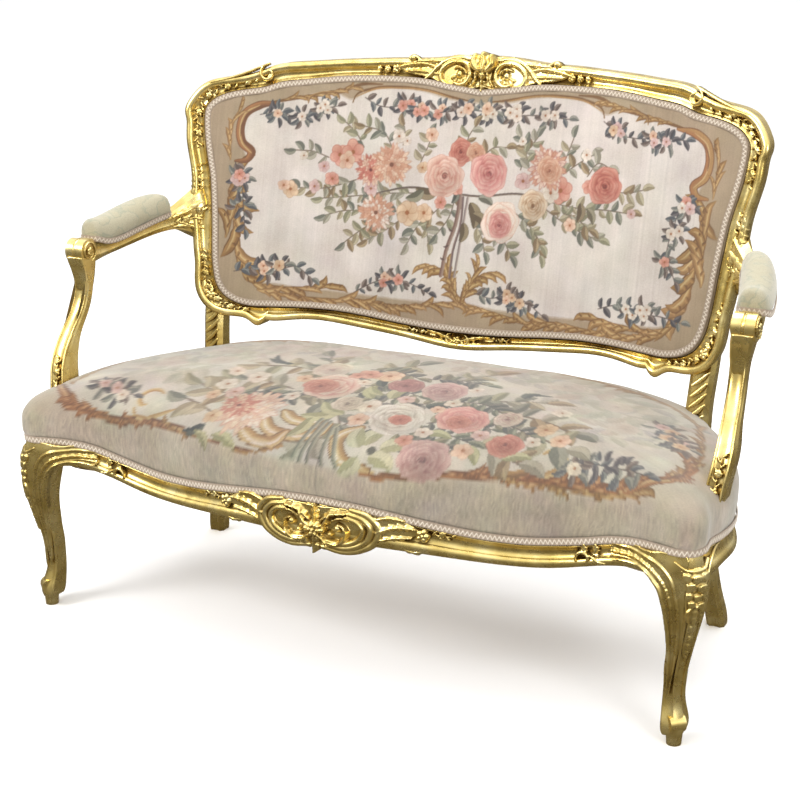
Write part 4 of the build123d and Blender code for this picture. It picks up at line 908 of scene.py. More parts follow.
def mixed_colour(tree, share, first, second, kind="MIX"):
    mix = tree.nodes.new("ShaderNodeMix")
    mix.data_type, mix.blend_type = "RGBA", kind
    for socket, value in ((mix.inputs[0], share), (mix.inputs[6], first), (mix.inputs[7], second)):
        if isinstance(value, (int, float)):
            socket.default_value = value
        elif isinstance(value, tuple):
            socket.default_value = value + (1,)
        else:
            tree.links.new(value, socket)
    return mix.outputs[2]


def bumped(tree, body, source, strength, distance):
    bump = tree.nodes.new("ShaderNodeBump")
    bump.inputs["Strength"].default_value = strength
    bump.inputs["Distance"].default_value = distance
    tree.links.new(source, bump.inputs["Height"])
    tree.links.new(bump.outputs["Normal"], body.inputs["Normal"])


def gold_leaf():
    """Burnished leaf over bole, rubbed thin in places, with painted shade that turns it brown in
    its recesses and corners.
    """
    material, tree, body = shader("gold_leaf", 0.94)
    tone = ramp(tree, noise(tree, 22, 6), [
        (0.30, (0.62, 0.455, 0.135)), (0.50, (0.80, 0.62, 0.225)), (0.70, (0.94, 0.79, 0.375))])
    # ambient occlusion darkens the gold to brown in corners and recesses: painted shade
    occlusion_for_painted_shade = tree.nodes.new("ShaderNodeAmbientOcclusion")
    occlusion_for_painted_shade.inputs["Distance"].default_value = 0.012
    occlusion_for_painted_shade.samples = 16
    depth = greys(tree, occlusion_for_painted_shade.outputs["AO"], (0.22, 1), (0.72, 0))
    dark = mixed_colour(tree, depth, tone, (0.29, 0.185, 0.055))
    # the carvings' stored recess value darkens their recesses further: painted shade
    dark = mixed_colour(tree, point_value(tree, "painted_recess_shade"), dark, (0.25, 0.155, 0.045))
    tree.links.new(dark, body.inputs["Base Color"])
    rough = greys(tree, noise(tree, 60, 5), (0.3, 0.20), (0.7, 0.38))
    tree.links.new(rough, body.inputs["Roughness"])
    bumped(tree, body, noise(tree, 120, 3), 0.22, 0.0006)
    return material


def bare_wood():
    material, tree, body = shader("seasoned_beech")
    grain = noise(tree, 9, 8, (1.0, 14.0, 14.0))
    tree.links.new(ramp(tree, grain, [(0.35, (0.25, 0.15, 0.08)), (0.65, (0.45, 0.30, 0.18))]),
                   body.inputs["Base Color"])
    bumped(tree, body, grain, 0.3, 0.0008)
    return material


def plain_cloth(name, dark, light, scale=900.0):
    """Plain cloth with its warp and weft."""
    material, tree, body = shader(name, roughness=0.85, sheen=0.25)
    threads = noise(tree, scale, 2)
    tone = mixed_colour(tree, noise(tree, 9, 4), dark, light)
    tree.links.new(mixed_colour(tree, threads, tone, light), body.inputs["Base Color"])
    bumped(tree, body, threads, 0.5, 0.0006)
    return material


def tapestry_cloth():
    """Wool and silk tapestry: colours laid in thread by thread, ribbed by the warp."""
    material, tree, body = shader("tapestry", roughness=0.78, sheen=0.3)
    worn = ramp(tree, noise(tree, 14, 6), [
        (0.30, (0.535, 0.53, 0.53)), (0.70, (0.66, 0.665, 0.685))])
    weft = greys(tree, noise(tree, 300, 3, (1.0, 1.0, 3.0)), (0.25, 0.88), (0.75, 1.07))
    thread = point_value(tree, "thread_colour", "Color")
    tone = mixed_colour(tree, 1.0, thread, worn, "MULTIPLY")
    tree.links.new(mixed_colour(tree, 1.0, tone, weft, "MULTIPLY"), body.inputs["Base Color"])
    body.inputs["Sheen Roughness"].default_value = 0.5
    bumped(tree, body, noise(tree, 520, 2, (1.0, 1.0, 2.0)), 0.35, 0.0007)
    return material


def damask():
    """Pale damask of the elbow rests, with faint grey-green sprigs."""
    material, tree, body = shader("arm_damask", roughness=0.8, sheen=0.4)
    sprig = ramp(tree, noise(tree, 34, 2), [
        (0.455, (0.315, 0.285, 0.190)), (0.50, (0.25, 0.25, 0.175)), (0.53, (0.33, 0.30, 0.205))])
    threads = greys(tree, noise(tree, 480, 2), (0.3, 0.88), (0.7, 1.06))
    tree.links.new(mixed_colour(tree, 1.0, sprig, threads, "MULTIPLY"), body.inputs["Base Color"])
    bumped(tree, body, threads, 0.3, 0.0006)
    return material


def gimp_cloth():
    """Braid of silk cord: pale loops, with painted shade in brown between them and along the
    braid's flanks.
    """
    material, tree, body = shader("gimp_braid", roughness=0.8, sheen=0.2)
    silk = ramp(tree, noise(tree, 700, 2), [(0.3, (0.51, 0.44, 0.35)), (0.7, (0.72, 0.64, 0.52))])
    # where no cord lies on top the braid is brown: painted shade in the gaps and on the flanks
    tone = mixed_colour(tree, point_value(tree, "cord"), (0.26, 0.20, 0.145), silk)
    tree.links.new(tone, body.inputs["Base Color"])
    bumped(tree, body, noise(tree, 900, 2), 0.4, 0.0005)
    return material


def turned_steel():
    """Steel of the screws, darkened unevenly with age."""
    material, tree, body = shader("screw_steel", 1.0, 0.4)
    tone = ramp(tree, noise(tree, 260, 4), [(0.3, (0.20, 0.18, 0.16)), (0.7, (0.46, 0.44, 0.41))])
    tree.links.new(tone, body.inputs["Base Color"])
    return material


GOLD = gold_leaf()
WOOD = bare_wood()
TAPESTRY = tapestry_cloth()
ARM_CLOTH = damask()
BRAID = gimp_cloth()
LINEN = plain_cloth("dust_cloth", (0.30, 0.24, 0.18), (0.42, 0.35, 0.27))
WEBBING = plain_cloth("jute_webbing", (0.36, 0.28, 0.18), (0.56, 0.46, 0.32), 500)
HAIR = plain_cloth("horsehair", (0.06, 0.045, 0.035), (0.16, 0.12, 0.09), 350)
STEEL = turned_steel()
SLOT_LOOKS = {
    "giltwood": GOLD, "seasoned_wood": WOOD, "tapestry": TAPESTRY, "braid": BRAID,
    "webbing": WEBBING, "stuffing": HAIR, "lining": LINEN, "screw_steel": STEEL,
}


def dress_frame():
    """Gives each piece of the frame the look of its slot."""
    slots = {row["node"]: row["material_slot"] for row in frame["record"]["subparts"]}
    for name, piece in NODES.items():
        piece.data.materials.clear()
        piece.data.materials.append(SLOT_LOOKS[slots[name]])
        piece.data.shade_smooth()


# ---------------------------------------------------------------- making of pieces
def finished(name, mesh, material):
    """Object of the part from a mesh, riding with the frame."""
    piece = bpy.data.objects.new(name, mesh)
    bpy.context.scene.collection.objects.link(piece)
    mesh.materials.append(material)
    mesh.shade_smooth()
    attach(piece, "root")
    return piece


def flat_grid(columns, rows):
    """Grid of faces with each point's share across (u) and up (v)."""
    bm = bmesh.new()
    bmesh.ops.create_grid(bm, x_segments=columns, y_segments=rows, size=0.5)
    mesh = bpy.data.meshes.new("grid")
    bm.to_mesh(mesh)
    bm.free()
    co = points_of(mesh)
    return mesh, co[:, 0] + 0.5, co[:, 1] + 0.5


def points_of(mesh):
    co = np.empty(len(mesh.vertices) * 3)
    mesh.vertices.foreach_get("co", co)
    return co.reshape(-1, 3)


def placed(mesh, points):
    mesh.vertices.foreach_set("co", np.ascontiguousarray(points, np.float32).ravel())
    mesh.update()


def stored(mesh, name, kind, field, values):
    """Keeps a value for each point of a mesh, for its material or for a later step."""
    layer = mesh.attributes.new(name, kind, "POINT")
    layer.data.foreach_set(field, np.ascontiguousarray(values, np.float32).ravel())


def dyed(mesh, colours):
    """Stores a colour for each point, given as the eye sees it."""
    linear = np.where(colours <= 0.04045, colours / 12.92, ((colours + 0.055) / 1.055) ** 2.4)
    stored(mesh, "thread_colour", "FLOAT_COLOR", "color",
           np.hstack([linear, np.ones((len(linear), 1))]))


def closed_below(mesh, under=(), merge=1e-5, cap=True):
    """Closes an open sheet: its rim is carried to each row of points under it, then covered."""
    bm = bmesh.new()
    bm.from_mesh(mesh)
    bmesh.ops.remove_doubles(bm, verts=bm.verts, dist=merge)
    for name in under:
        layer = bm.verts.layers.float_vector[name]
        made = bmesh.ops.extrude_edge_only(bm, edges=[e for e in bm.edges if e.is_boundary])["geom"]
        for vert in made:
            if isinstance(vert, bmesh.types.BMVert):
                vert.co = vert[layer]
    bmesh.ops.remove_doubles(bm, verts=bm.verts, dist=merge)
    if cap:
        bmesh.ops.holes_fill(bm, edges=[e for e in bm.edges if e.is_boundary], sides=0)
    bmesh.ops.recalc_face_normals(bm, faces=bm.faces)
    bm.to_mesh(mesh)
    bm.free()


def keep_row(mesh, name, points):
    """Stores where each point goes when the sheet is closed."""
    stored(mesh, name, "FLOAT_VECTOR", "vector", points)


def tacked(mesh, rim, fold):
    """Turns a sheet's rim over to where it is tacked, and on to its middle line."""
    keep_row(mesh, "rim", rim)
    keep_row(mesh, "fold", fold)
    closed_below(mesh, ("rim", "fold"), cap=False)


def without(mesh, unwanted):
    """Takes points out of a mesh, by a list of true and false."""
    bm = bmesh.new()
    bm.from_mesh(mesh)
    bm.verts.ensure_lookup_table()
    bmesh.ops.delete(bm, geom=[bm.verts[i] for i in np.flatnonzero(unwanted)], context="VERTS")
    bm.to_mesh(mesh)
    bm.free()


def back_half():
    """Right half of the upholstery's outline on the back, closely spaced."""
    return curve_through([(r[0], r[1]) for r in CREST + STILE + BOTTOM], 3)


def sheet_within(half, columns, rows):
    """Grid that fills an outline given by its right half, with its places and middle line."""
    corner = int(np.argmax(half[:, 0]))
    one, other = half[:corner + 1], half[corner:][::-1]
    mesh, u, v = flat_grid(columns, rows)
    t = 2 * u - 1
    x = half[corner, 0] * (0.75 * t + 0.25 * np.sin(t * math.pi / 2))
    first = np.interp(np.abs(x), one[:, 0], one[:, 1])
    second = np.interp(np.abs(x), other[:, 0], other[:, 1])
    return mesh, x, second + v * (first - second), (first + second) / 2


def back_crown(x):
    """How far the tapestry of the back stands out from the frame's curve."""
    return PANEL_EDGE + PANEL_CROWN * (1 - (x / PANEL_SPAN) ** 2)


def back_panel():
    """Front tapestry of the back, full in the middle and drawn down to its braid."""
    mesh, x, z, middle = sheet_within(back_half(), 780, 320)
    line = both_halves(back_half()[::4])
    depth = np.abs(distance_to(np.vstack([line, line[:1]]), x, z)[1])
    full = back_crown(x)
    pull = np.exp(-depth / 9)
    ripple = 0.5 * np.sin(x / 9 + 2 * np.sin(z / 37)) + 0.3 * np.sin(x / 31 + z / 47)
    near_edge = np.clip(1 - depth / 90, 0, 1) * np.clip(depth / 14, 0, 1)
    placed(mesh, on_back(x, z, full - 2.2 * pull + ripple * (0.25 + near_edge)))
    dyed(mesh, silk_streaks(back_tapestry(), x, z))
    tacked(mesh, on_back(x, z, 0 * x + TACKED), on_back(x, middle, 0 * x + TACKED))
    piece = finished("back_tapestry", mesh, TAPESTRY)
    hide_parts("back_front_cover")


def silk_streaks(web, x, z):
    """Colours of the drawing, with the slubs of the silk where the ground is plain."""
    colours = web.mixed(x, z)
    rng = np.random.default_rng(3)
    streak = np.interp(x, np.arange(-760, 761, 2.0), rng.normal(0, 1, 761))
    broad = np.interp(x, np.arange(-760, 761, 17.0), rng.normal(0, 1, 90))
    return np.clip(colours * (1 + 0.012 * streak + 0.012 * broad)[:, None], 0, 1)


def seat_surface(share, rise, outline):
    """Point of the seat at a share round its outline and a share from the rail to the crown."""
    # the first column, a mean of how far a level is drawn in, spaces the points along the curve
    levels = curve_through([(0.5 * (a + c) * 0.6, z, a, b, c) for z, a, b, c in SEAT_LEVELS], 2.0)
    at = np.linspace(0, 1, len(levels))
    z, front, rear, sides = (np.interp(rise, at, levels[:, k]) for k in (1, 2, 3, 4))
    ring = np.stack([np.interp(share * (len(outline) - 1), np.arange(len(outline)), outline[:, k])
                     for k in range(3)], 1)
    run = ring[:, 1] - SEAT_CROWN_Y
    scale = np.where(run < 0, 1 - front / SEAT_REACH[0], 1 - rear / SEAT_REACH[1])
    x, y = ring[:, 0] * (1 - sides / SEAT_REACH[2]), SEAT_CROWN_Y + run * scale
    up = (z - SEAT_FOOT) / (SKIRT_TOP - SEAT_FOOT)
    return x, y, np.where(z < SKIRT_TOP, ring[:, 2] + up * (SKIRT_TOP - ring[:, 2]), z)


def seat_cushion():
    """Domed seat in tapestry, drawn down over the rails to the braid."""
    outline = both_halves(FRONT_EDGE + SIDE_EDGE + REAR_EDGE)
    outline = curve_through(np.vstack([outline, outline[:1]]), 3)
    mesh, u, v = flat_grid(*SEAT_FACES)
    x, y, z = seat_surface(u, v, outline)
    normal = unit(np.stack([np.gradient(outline[:, 1]), -np.gradient(outline[:, 0])], 1))
    out = np.stack([np.interp(u * (len(outline) - 1), np.arange(len(outline)), normal[:, k])
                    for k in (0, 1)], 1)
    drop = np.maximum(SHOULDER - z, 0)[:, None]
    plan = np.stack([x, y], 1) + out * drop
    around = u * SEAT_FACES[0]
    folds = 0.25 * np.sin(around / 2.1) + 0.5 * np.sin(around / 5.3)
    pleat = np.clip((SHOULDER - z) / 60, 0, 1) * folds
    dents = 1.2 * np.sin(x / 70 + 1) * np.sin(y / 45) + 0.5 * np.sin(x / 23 + y / 31)
    z = z + np.clip((z - 420) / 40, 0, 1) * dents
    placed(mesh, row_point(x + out[:, 0] * pleat * 0.5, y + out[:, 1] * pleat * 0.5, z))
    web = seat_tapestry()
    colours = web.mixed(plan[:, 0], plan[:, 1])
    rng = np.random.default_rng(4)
    column, level = np.rint(around).astype(int), np.clip((SHOULDER - z) / 9, 0, 13.99)
    fray = rng.normal(0, 1, (SEAT_FACES[0] + 1, 16))
    low, part = level.astype(int), level % 1
    threads = fray[column, low] * (1 - part) + fray[column, low + 1] * part
    hang = np.clip((SHOULDER - 8 - z) / 14, 0, 1)
    torn = np.where(threads > 1.8, -0.17, np.where(threads < -1.9, 0.16, 0.0))
    colours = colours * (1 + hang * (0.038 * threads + torn) + 0.012 * threads)[:, None]
    dyed(mesh, np.clip(colours * (0.86, 0.845, 0.815), 0, 1))
    closed_below(mesh)
    piece = finished("seat_tapestry", mesh, TAPESTRY)
    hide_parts("seat_cover")


def outside_back():
    """Plain cloth over the back of the settee."""
    mesh, x, z, middle = sheet_within(back_half(), 120, 60)
    placed(mesh, on_back(x, z, OUTSIDE_FACE - 0.4 * np.sin(x / 40) * np.sin(z / 55)))
    dyed(mesh, np.tile((0.74, 0.68, 0.58), (len(x), 1)))
    out = 0 * x + OUTSIDE_TACKED
    tacked(mesh, on_back(x, z, out), on_back(x, middle, out))
    piece = finished("outside_back_cloth", mesh, TAPESTRY)
    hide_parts("back_outside_cover")


def dust_cloth():
    """Cloth tacked across the underside of the seat, sagging a little."""
    half = curve_through(UNDER_CLOTH, 4)
    mesh, x, y, middle = sheet_within(half, 110, 50)
    sag = 6 * np.clip(1 - (x / 610) ** 2, 0, 1) * np.clip(1 - ((y + 85) / 225) ** 2, 0, 1)
    ripple = 0.5 * np.sin(x / 17) * np.sin(y / 60)
    placed(mesh, row_point(x, y, UNDER_CLOTH_Z - sag - ripple))
    level = UNDER_CLOTH_Z + 1 + 0 * x
    tacked(mesh, row_point(x, y, level), row_point(x, middle, level))
    piece = finished("dust_cloth", mesh, LINEN)
    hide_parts("seat_cloth_under")


def braid(name, line, outward, width, thickness, replaced):
    """Gimp braid: cord that crosses from edge to edge of a flat band, laid along a line."""
    count = len(line) - 1
    mesh, u, v = flat_grid(count, BRAID_AROUND)
    i = np.clip(np.rint(u * count).astype(int), 0, count)
    across = unit(np.cross(unit(np.gradient(line, axis=0)), outward))
    run = run_along(line) * 1000
    phase = run[i] / BRAID_PITCH * 2 * math.pi
    turn = v * 2 * math.pi
    side, lift = np.cos(turn), np.sin(turn)
    weave = 0.56 * np.arcsin(np.sin(phase)) * 2 / math.pi
    cord = np.clip(1.5 - np.abs(side - weave) / 0.22, 0, 1)
    wide = width / 2 * (1 + 0.10 * np.cos(2 * phase))
    high = thickness * (0.5 + 0.5 * np.clip(lift * 1.6, -1, 1))
    high = high + np.clip(lift * 2, 0, 1) * 0.7 * cord
    placed(mesh, line[i] + across[i] * (side * wide * 0.001)[:, None]
           + outward[i] * (high * 0.001)[:, None])
    # cord colour only on the braid's top; gaps, flanks and underside take the brown painted shade
    stored(mesh, "cord", "FLOAT", "value", cord * np.clip(lift * 4, 0, 1))
    closed_below(mesh, merge=1e-6)
    piece = finished(name, mesh, BRAID)
    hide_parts(*replaced)


def frame_braids():
    """Braid round the back, outside and in, and along the seat."""
    outline = both_halves(back_half())
    ring = curve_through(shrunk(np.vstack([outline, outline[:1]]), 6.0), BRAID_STEP)
    braid("back_braid", on_back(ring[:, 0], ring[:, 1], back_crown(ring[:, 0]) - 1.0),
          normals_of(on_back, ring), 12, 1.8, ["back_gimp"])
    braid("outside_back_braid", on_back(ring[:, 0], ring[:, 1], 0 * ring[:, 0] - 31.2),
          -normals_of(on_back, ring), 11, 1.6, ["back_outside_gimp"])
    half = np.array(FRONT_EDGE + SIDE_EDGE)
    line = curve_through(np.vstack([half[::-1] * [-1, 1, 1], half[1:]]), BRAID_STEP)
    plan = np.gradient(line[:, :2], axis=0)
    out = unit(np.stack([plan[:, 1], -plan[:, 0], 0 * plan[:, 0]], 1))
    points = row_point(line[:, 0], line[:, 1], line[:, 2] + 6.0) + out * 0.0026
    braid("seat_braid", points, out, 13, 1.9, ["seat_gimp"])


def normals_of(place, ring):
    base = place(ring[:, 0], ring[:, 1], 0 * ring[:, 0])
    return unit(place(ring[:, 0], ring[:, 1], 0 * ring[:, 0] + 1.0) - base)


def shrunk(line, inset):
    """A closed outline set in by a distance; the first point is repeated at the end."""
    body = line[:-1]
    along = np.roll(body, -1, 0) - np.roll(body, 1, 0)
    moved = body + unit(np.stack([along[:, 1], -along[:, 0]], 1)) * inset
    return np.vstack([moved, moved[:1]])


def arm_pad(side, name):
    """Padded elbow rest, rounded at both ends, swelled by its stuffing over the arm's edges."""
    front, rear, half, height = PAD[0] - 2, PAD[1] + 2, PAD[2] + 4.5, PAD[3] + 6
    mesh, u, v = flat_grid(72, 48)
    share = 0.5 - 0.5 * np.cos(u * math.pi)
    y = front + (rear - front) * share
    turn = v * 2 * math.pi
    plump = np.clip(np.sin(u * math.pi), 0, 1) ** 0.27
    side_on, lift = np.cos(turn), np.sin(turn)
    boxy = np.where(lift > 0, 0.84, 0.40)        # round above, squarer where it is tacked
    x = between(ARM_SECTIONS, y, 1) + half * plump * evened(side_on, boxy)
    bed = between(ARM_SECTIONS, y, 4)
    over = 8 + (height - 8) * plump * np.abs(lift) ** 0.88
    placed(mesh, row_point(side * x, y, bed + np.where(lift > 0, over, 8 + 12 * lift)))
    closed_below(mesh, cap=False)
    piece = finished(name + "_arm_pad", mesh, ARM_CLOTH)
    swelled(piece, *PAD_SWELL)
    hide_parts(name + "_arm_pad_cover")
    around = np.linspace(0, 2 * math.pi, 500)
    middle_y, reach = (front + rear) / 2, (rear - front) / 2 - 0.5
    y = middle_y + reach * evened(np.sin(around), 0.62)
    across = evened(np.cos(around), 0.36)
    low = between(ARM_SECTIONS, y, 4) + 1.0
    line = row_point(side * (between(ARM_SECTIONS, y, 1) + (half - 0.8) * across), y, low)
    inner_y = np.clip(y, front + 24, rear - 24)
    out = unit(line - row_point(side * between(ARM_SECTIONS, inner_y, 1), inner_y, low))
    line, out = evenly(line, out, BRAID_STEP * 0.001)
    braid(name + "_arm_braid", line, out, 11, 1.8, [name + "_arm_gimp"])


def evenly(line, out, step):
    """Even spacing for a line and the directions that go with it."""
    run = run_along(line)
    at = np.linspace(0, run[-1], int(run[-1] / step))
    line, out = (np.stack([np.interp(at, run, rows[:, k]) for k in range(3)], 1)
                 for rows in (line, out))
    return line, unit(out)


def swelled(piece, pressure, cap, frames):
    """Lets the stuffing of a pad swell its cloth, no further than a cap."""
    remesh = piece.modifiers.new("even", "REMESH")
    remesh.mode, remesh.voxel_size = "VOXEL", PAD_MESH
    bake(piece)
    rest = points_of(piece.data)
    cloth = piece.modifiers.new("cloth", "CLOTH")
    cloth.settings.use_pressure = True
    cloth.settings.uniform_pressure_force = pressure
    cloth.settings.effector_weights.gravity = 0
    cloth.point_cache.frame_start, cloth.point_cache.frame_end = 1, frames
    for number in range(1, frames + 1):
        bpy.context.scene.frame_set(number)
    bake(piece)
    moved = points_of(piece.data) - rest
    far = np.linalg.norm(moved, axis=1, keepdims=True)
    placed(piece.data, rest + moved * np.minimum(1, cap / np.maximum(far, 1e-9)))
    bpy.context.scene.frame_set(1)
    finer = piece.modifiers.new("finer", "SUBSURF")
    finer.levels = finer.render_levels = 1
    bake(piece)
    piece.data.shade_smooth()


def bake(piece):
    """Makes a piece's modifiers part of its mesh."""
    graph = bpy.context.evaluated_depsgraph_get()
    mesh = bpy.data.meshes.new_from_object(piece.evaluated_get(graph), depsgraph=graph)
    piece.modifiers.clear()
    piece.data = mesh


# ---------------------------------------------------------------- carving
class Carving(Board):
    """A board that holds the height of carved work over its ground."""

    def __init__(self, left, low, right, high, step=1.3):
        super().__init__(left, low, right, high, step)
        self.height = np.zeros(self.x.shape)

    def bed(self, outline, height):
        """A raised ground within an outline, for the carving to stand on."""
        within = inside(curve_through(outline + [outline[0]], 4), self.x, self.z)
        self.height = np.maximum(self.height, within * height)

    def raise_to(self, win, height):
        self.height[win] = np.maximum(self.height[win], height)

    def rod(self, line, width, height, taper=0.5):
        """A rounded band that tapers to its ends."""
        line = curve_through(line, 2.5)
        win, share, off = self.near(line, width)
        half = width / 2 * (1 - taper * np.abs(2 * share - 1) ** 2)
        r = np.clip(np.abs(off) / np.maximum(half, 0.5), 0, 1)
        body = np.sqrt(np.clip(1 - r ** 2, 0, 1))
        self.raise_to(win, np.where(np.abs(off) < half, height * (0.25 + 0.75 * body), 0))

    def leaf(self, line, width, height, lobes=5):
        """An acanthus leaf: lobed edge, raised midrib and veins that run out to the lobes."""
        line = curve_through(line, 2.5)
        win, share, off = self.near(line, width)
        bite = 0.5 + 0.5 * np.cos((share * lobes - 0.3) * 2 * math.pi)
        envelope = np.sin(math.pi * np.clip(share * 0.94 + 0.05, 0, 1)) ** 0.6
        half = width / 2 * envelope * (1 - 0.34 * bite)
        r = np.clip(np.abs(off) / np.maximum(half, 0.4), 0, 1)
        veins = np.cos((share * lobes - r * 0.55 - 0.3) * 2 * math.pi)
        form = (1 - r ** 3) * 0.72 + 0.30 * np.exp(-(off / 1.6) ** 2)
        form = form - 0.16 * (veins > 0.55) * (r > 0.18) + 0.06 * (1 - r)
        self.raise_to(win, np.where(np.abs(off) < half, np.maximum(height * form, 0.3), 0))

    def ball(self, x, z, radius, height, squeeze=1.0):
        win = self.window(x - radius, z - radius, x + radius, z + radius)
        far = np.hypot(self.x[win] - x, (self.z[win] - z) / squeeze) / radius
        self.raise_to(win, np.where(far < 1, height * np.sqrt(np.clip(1 - far ** 2, 0, 1)), 0))

    def block(self, x, z, wide, tall, height):
        """A raised scale with a flat top and rounded sides."""
        win = self.window(x - wide, z - tall, x + wide, z + tall)
        across, up = np.abs(self.x[win] - x) * 2 / wide, np.abs(self.z[win] - z) * 2 / tall
        reach = across ** 3.5 + up ** 3.5
        self.raise_to(win, height * np.clip((1 - reach) * 2.2, 0, 1) ** 0.5)

    def flower(self, x, z, radius, height, petals=5):
        """An open flower with cupped petals round a bead."""
        win = self.window(x - radius, z - radius, x + radius, z + radius)
        dx, dz = self.x[win] - x, self.z[win] - z
        far, angle = np.hypot(dx, dz) / radius, np.arctan2(dz, dx)
        lobe = np.abs(np.cos(angle * petals / 2))
        edge = 0.62 + 0.38 * lobe ** 0.5
        r = far / edge
        form = (0.55 + 0.45 * np.sin(np.clip(r, 0, 1) * math.pi)) * (0.72 + 0.28 * lobe)
        self.raise_to(win, np.where(r < 1, height * form, 0))
        self.ball(x, z, radius * 0.26, height * 1.15)

    def shell(self, x, z, radius, start, end, ribs, height):
        """A fan of ribs, like a cockle shell."""
        win = self.window(x - radius, z - radius, x + radius, z + radius)
        dx, dz = self.x[win] - x, self.z[win] - z
        far, angle = np.hypot(dx, dz) / radius, np.degrees(np.arctan2(dz, dx))
        share = (angle - start) / (end - start)
        rib = np.abs(np.cos(share * ribs * math.pi - math.pi / 2))
        edge = 0.84 + 0.16 * rib
        form = (0.35 + 0.65 * rib ** 0.7) * (0.55 + 0.45 * np.clip(far, 0, 1))
        within = (share > 0) & (share < 1) & (far < edge)
        self.raise_to(win, np.where(within, height * form, 0))

    def vine(self, points, size, height):
        """A trail of small leaves and flowers on a thin stem."""
        line = curve_through(points, 2.5)
        step = max(int(size * 0.62 / 2.5), 1)
        self.rod(points, 2.4, height * 0.7, taper=0.2)
        for n, i in enumerate(range(step, len(line) - 2, step)):
            along = line[i + 1] - line[i]
            along = along / np.linalg.norm(along)
            across = np.array([-along[1], along[0]]) * (1, -1)[n % 2]
            if n % 4 == 2:
                self.flower(*(line[i] + across * size * 0.12), size * 0.42, height * 1.1)
            tip = line[i] + along * size * 0.55 + across * size * 0.48
            middle = line[i] + along * size * 0.22 + across * size * 0.26
            self.leaf([line[i], middle, tip], size * 0.40, height, 3)

    def softened(self):
        """Rounds the work over a little, as gesso does."""
        h = self.height
        self.height = np.where(h > 0, np.maximum(h * 0.5 + around_sum(h) / 4 * 0.5, 0.15), 0)


def board_on(side, inner, low, outer, high, step=1.3):
    """A carving board for one side of the drawing."""
    left, right = sorted((side * inner, side * outer))
    return Carving(left, low, right, high, step)


def around_sum(height):
    """Sum of the four neighbours of each point of a board."""
    wide = np.pad(height, 1, mode="edge")
    return wide[:-2, 1:-1] + wide[2:, 1:-1] + wide[1:-1, :-2] + wide[1:-1, 2:]


def carved(name, board, place, ground, depth):
    """Carved piece from a board; place maps (x, z, out) on the drawing to a row point."""
    board.softened()
    rows, columns = board.x.shape
    mesh, u, v = flat_grid(columns - 1, rows - 1)
    c, r = np.rint(u * (columns - 1)).astype(int), np.rint(v * (rows - 1)).astype(int)
    x, z, height = board.x[r, c], board.z[r, c], board.height[r, c]
    placed(mesh, place(x, z, ground + height))
    # how far each point lies below its blurred surroundings, stored as painted shade for the gold's
    # recesses
    blurred = board.height
    for _ in range(7):
        blurred = (around_sum(blurred) + blurred) / 5
    stored(mesh, "painted_recess_shade", "FLOAT", "value", np.clip((blurred[r, c] - height) / 2.2, 0, 1) * 0.8)
    keep_row(mesh, "rim", place(x, z, ground - depth + 0 * x))
    without(mesh, height <= 0)
    closed_below(mesh, ("rim",), merge=1e-6)
    finished(name, mesh, GOLD)


def leaves(board, at, rows):
    """Lays leaves from rows that hold a leaf's line, width, height and lobes."""
    for points, width, height, lobes in rows:
        board.leaf(at(*points), width, height, lobes)


def crest_cartouche():
    """Carving at the middle of the crest: a flower under a folded cap, between leaf scrolls."""
    board = Carving(-230, 935, 230, 1010, 1.1)
    for side, _ in SIDES:
        at = on_side(side)
        board.bed(at((0, 1000), (30, 1003), (62, 1003), (92, 992), (112, 980), (150, 976),
                     (176, 974), (150, 964), (112, 958), (84, 950), (52, 944), (20, 940),
                     (0, 940)), 5)
        board.rod(at((30, 995), (52, 998), (78, 992), (98, 978), (110, 964), (120, 956)), 11, 9.5,
                  taper=0.35)
        board.rod(at((32, 988), (54, 991), (76, 984), (89, 969), (86, 955), (72, 946)), 11, 12,
                  taper=0.35)
        board.rod(at(*arc(48, 968, (22, 20), 72, 300, 22)), 11, 14.5, taper=0.3)
        board.shell(side * 48, 967, 20, -170, -10, 6, 10)
        board.ball(side * 49, 967, 8.5, 13.5, 1.1)
        board.ball(side * 39, 958, 6, 13)
        board.rod(at((104, 991), (132, 989), (146, 997), (156, 994), (150, 988)), 7, 9, taper=0.3)
        board.ball(side * 149, 994, 7.5, 11)
        leaves(board, at, (
            (((60, 978), (48, 980), (36, 972), (36, 958)), 14, 12, 3),
            (((18, 972), (16, 958), (24, 946)), 12, 12, 3),
            (((94, 978), (124, 984), (150, 982), (182, 975)), 21, 9, 6),
            (((98, 966), (128, 970), (160, 970)), 16, 8, 5),
            (((86, 990), (112, 990), (140, 988)), 15, 9, 4),
            (((6, 946), (30, 942), (56, 948)), 15, 11, 4),
            (((48, 944), (78, 949), (104, 957)), 13, 9, 5)))
        for x, size in ((182, 9), (200, 7.5), (216, 6)):
            board.flower(side * x, 973, size, 7)
    board.ball(0, 990, 31, 21, 0.55)
    for x in (-19, 0, 19):
        board.rod([(x * 0.5, 976), (x * 1.0, 988), (x * 0.9, 1005 - abs(x) * 0.2)], 19, 24,
                  taper=0.35)
    for x, low in ((-11, 958), (0, 950), (11, 958)):
        board.leaf([(x * 0.5, 984), (x, 972), (x * 1.2, low)], 15, 19, 3)
    board.flower(0, 974, 14, 20, 6)
    board.leaf([(0, 964), (0, 950), (0, 936)], 24, 15, 3)
    carved("crest_carving", board, on_back, ground=3.0, depth=14.0)


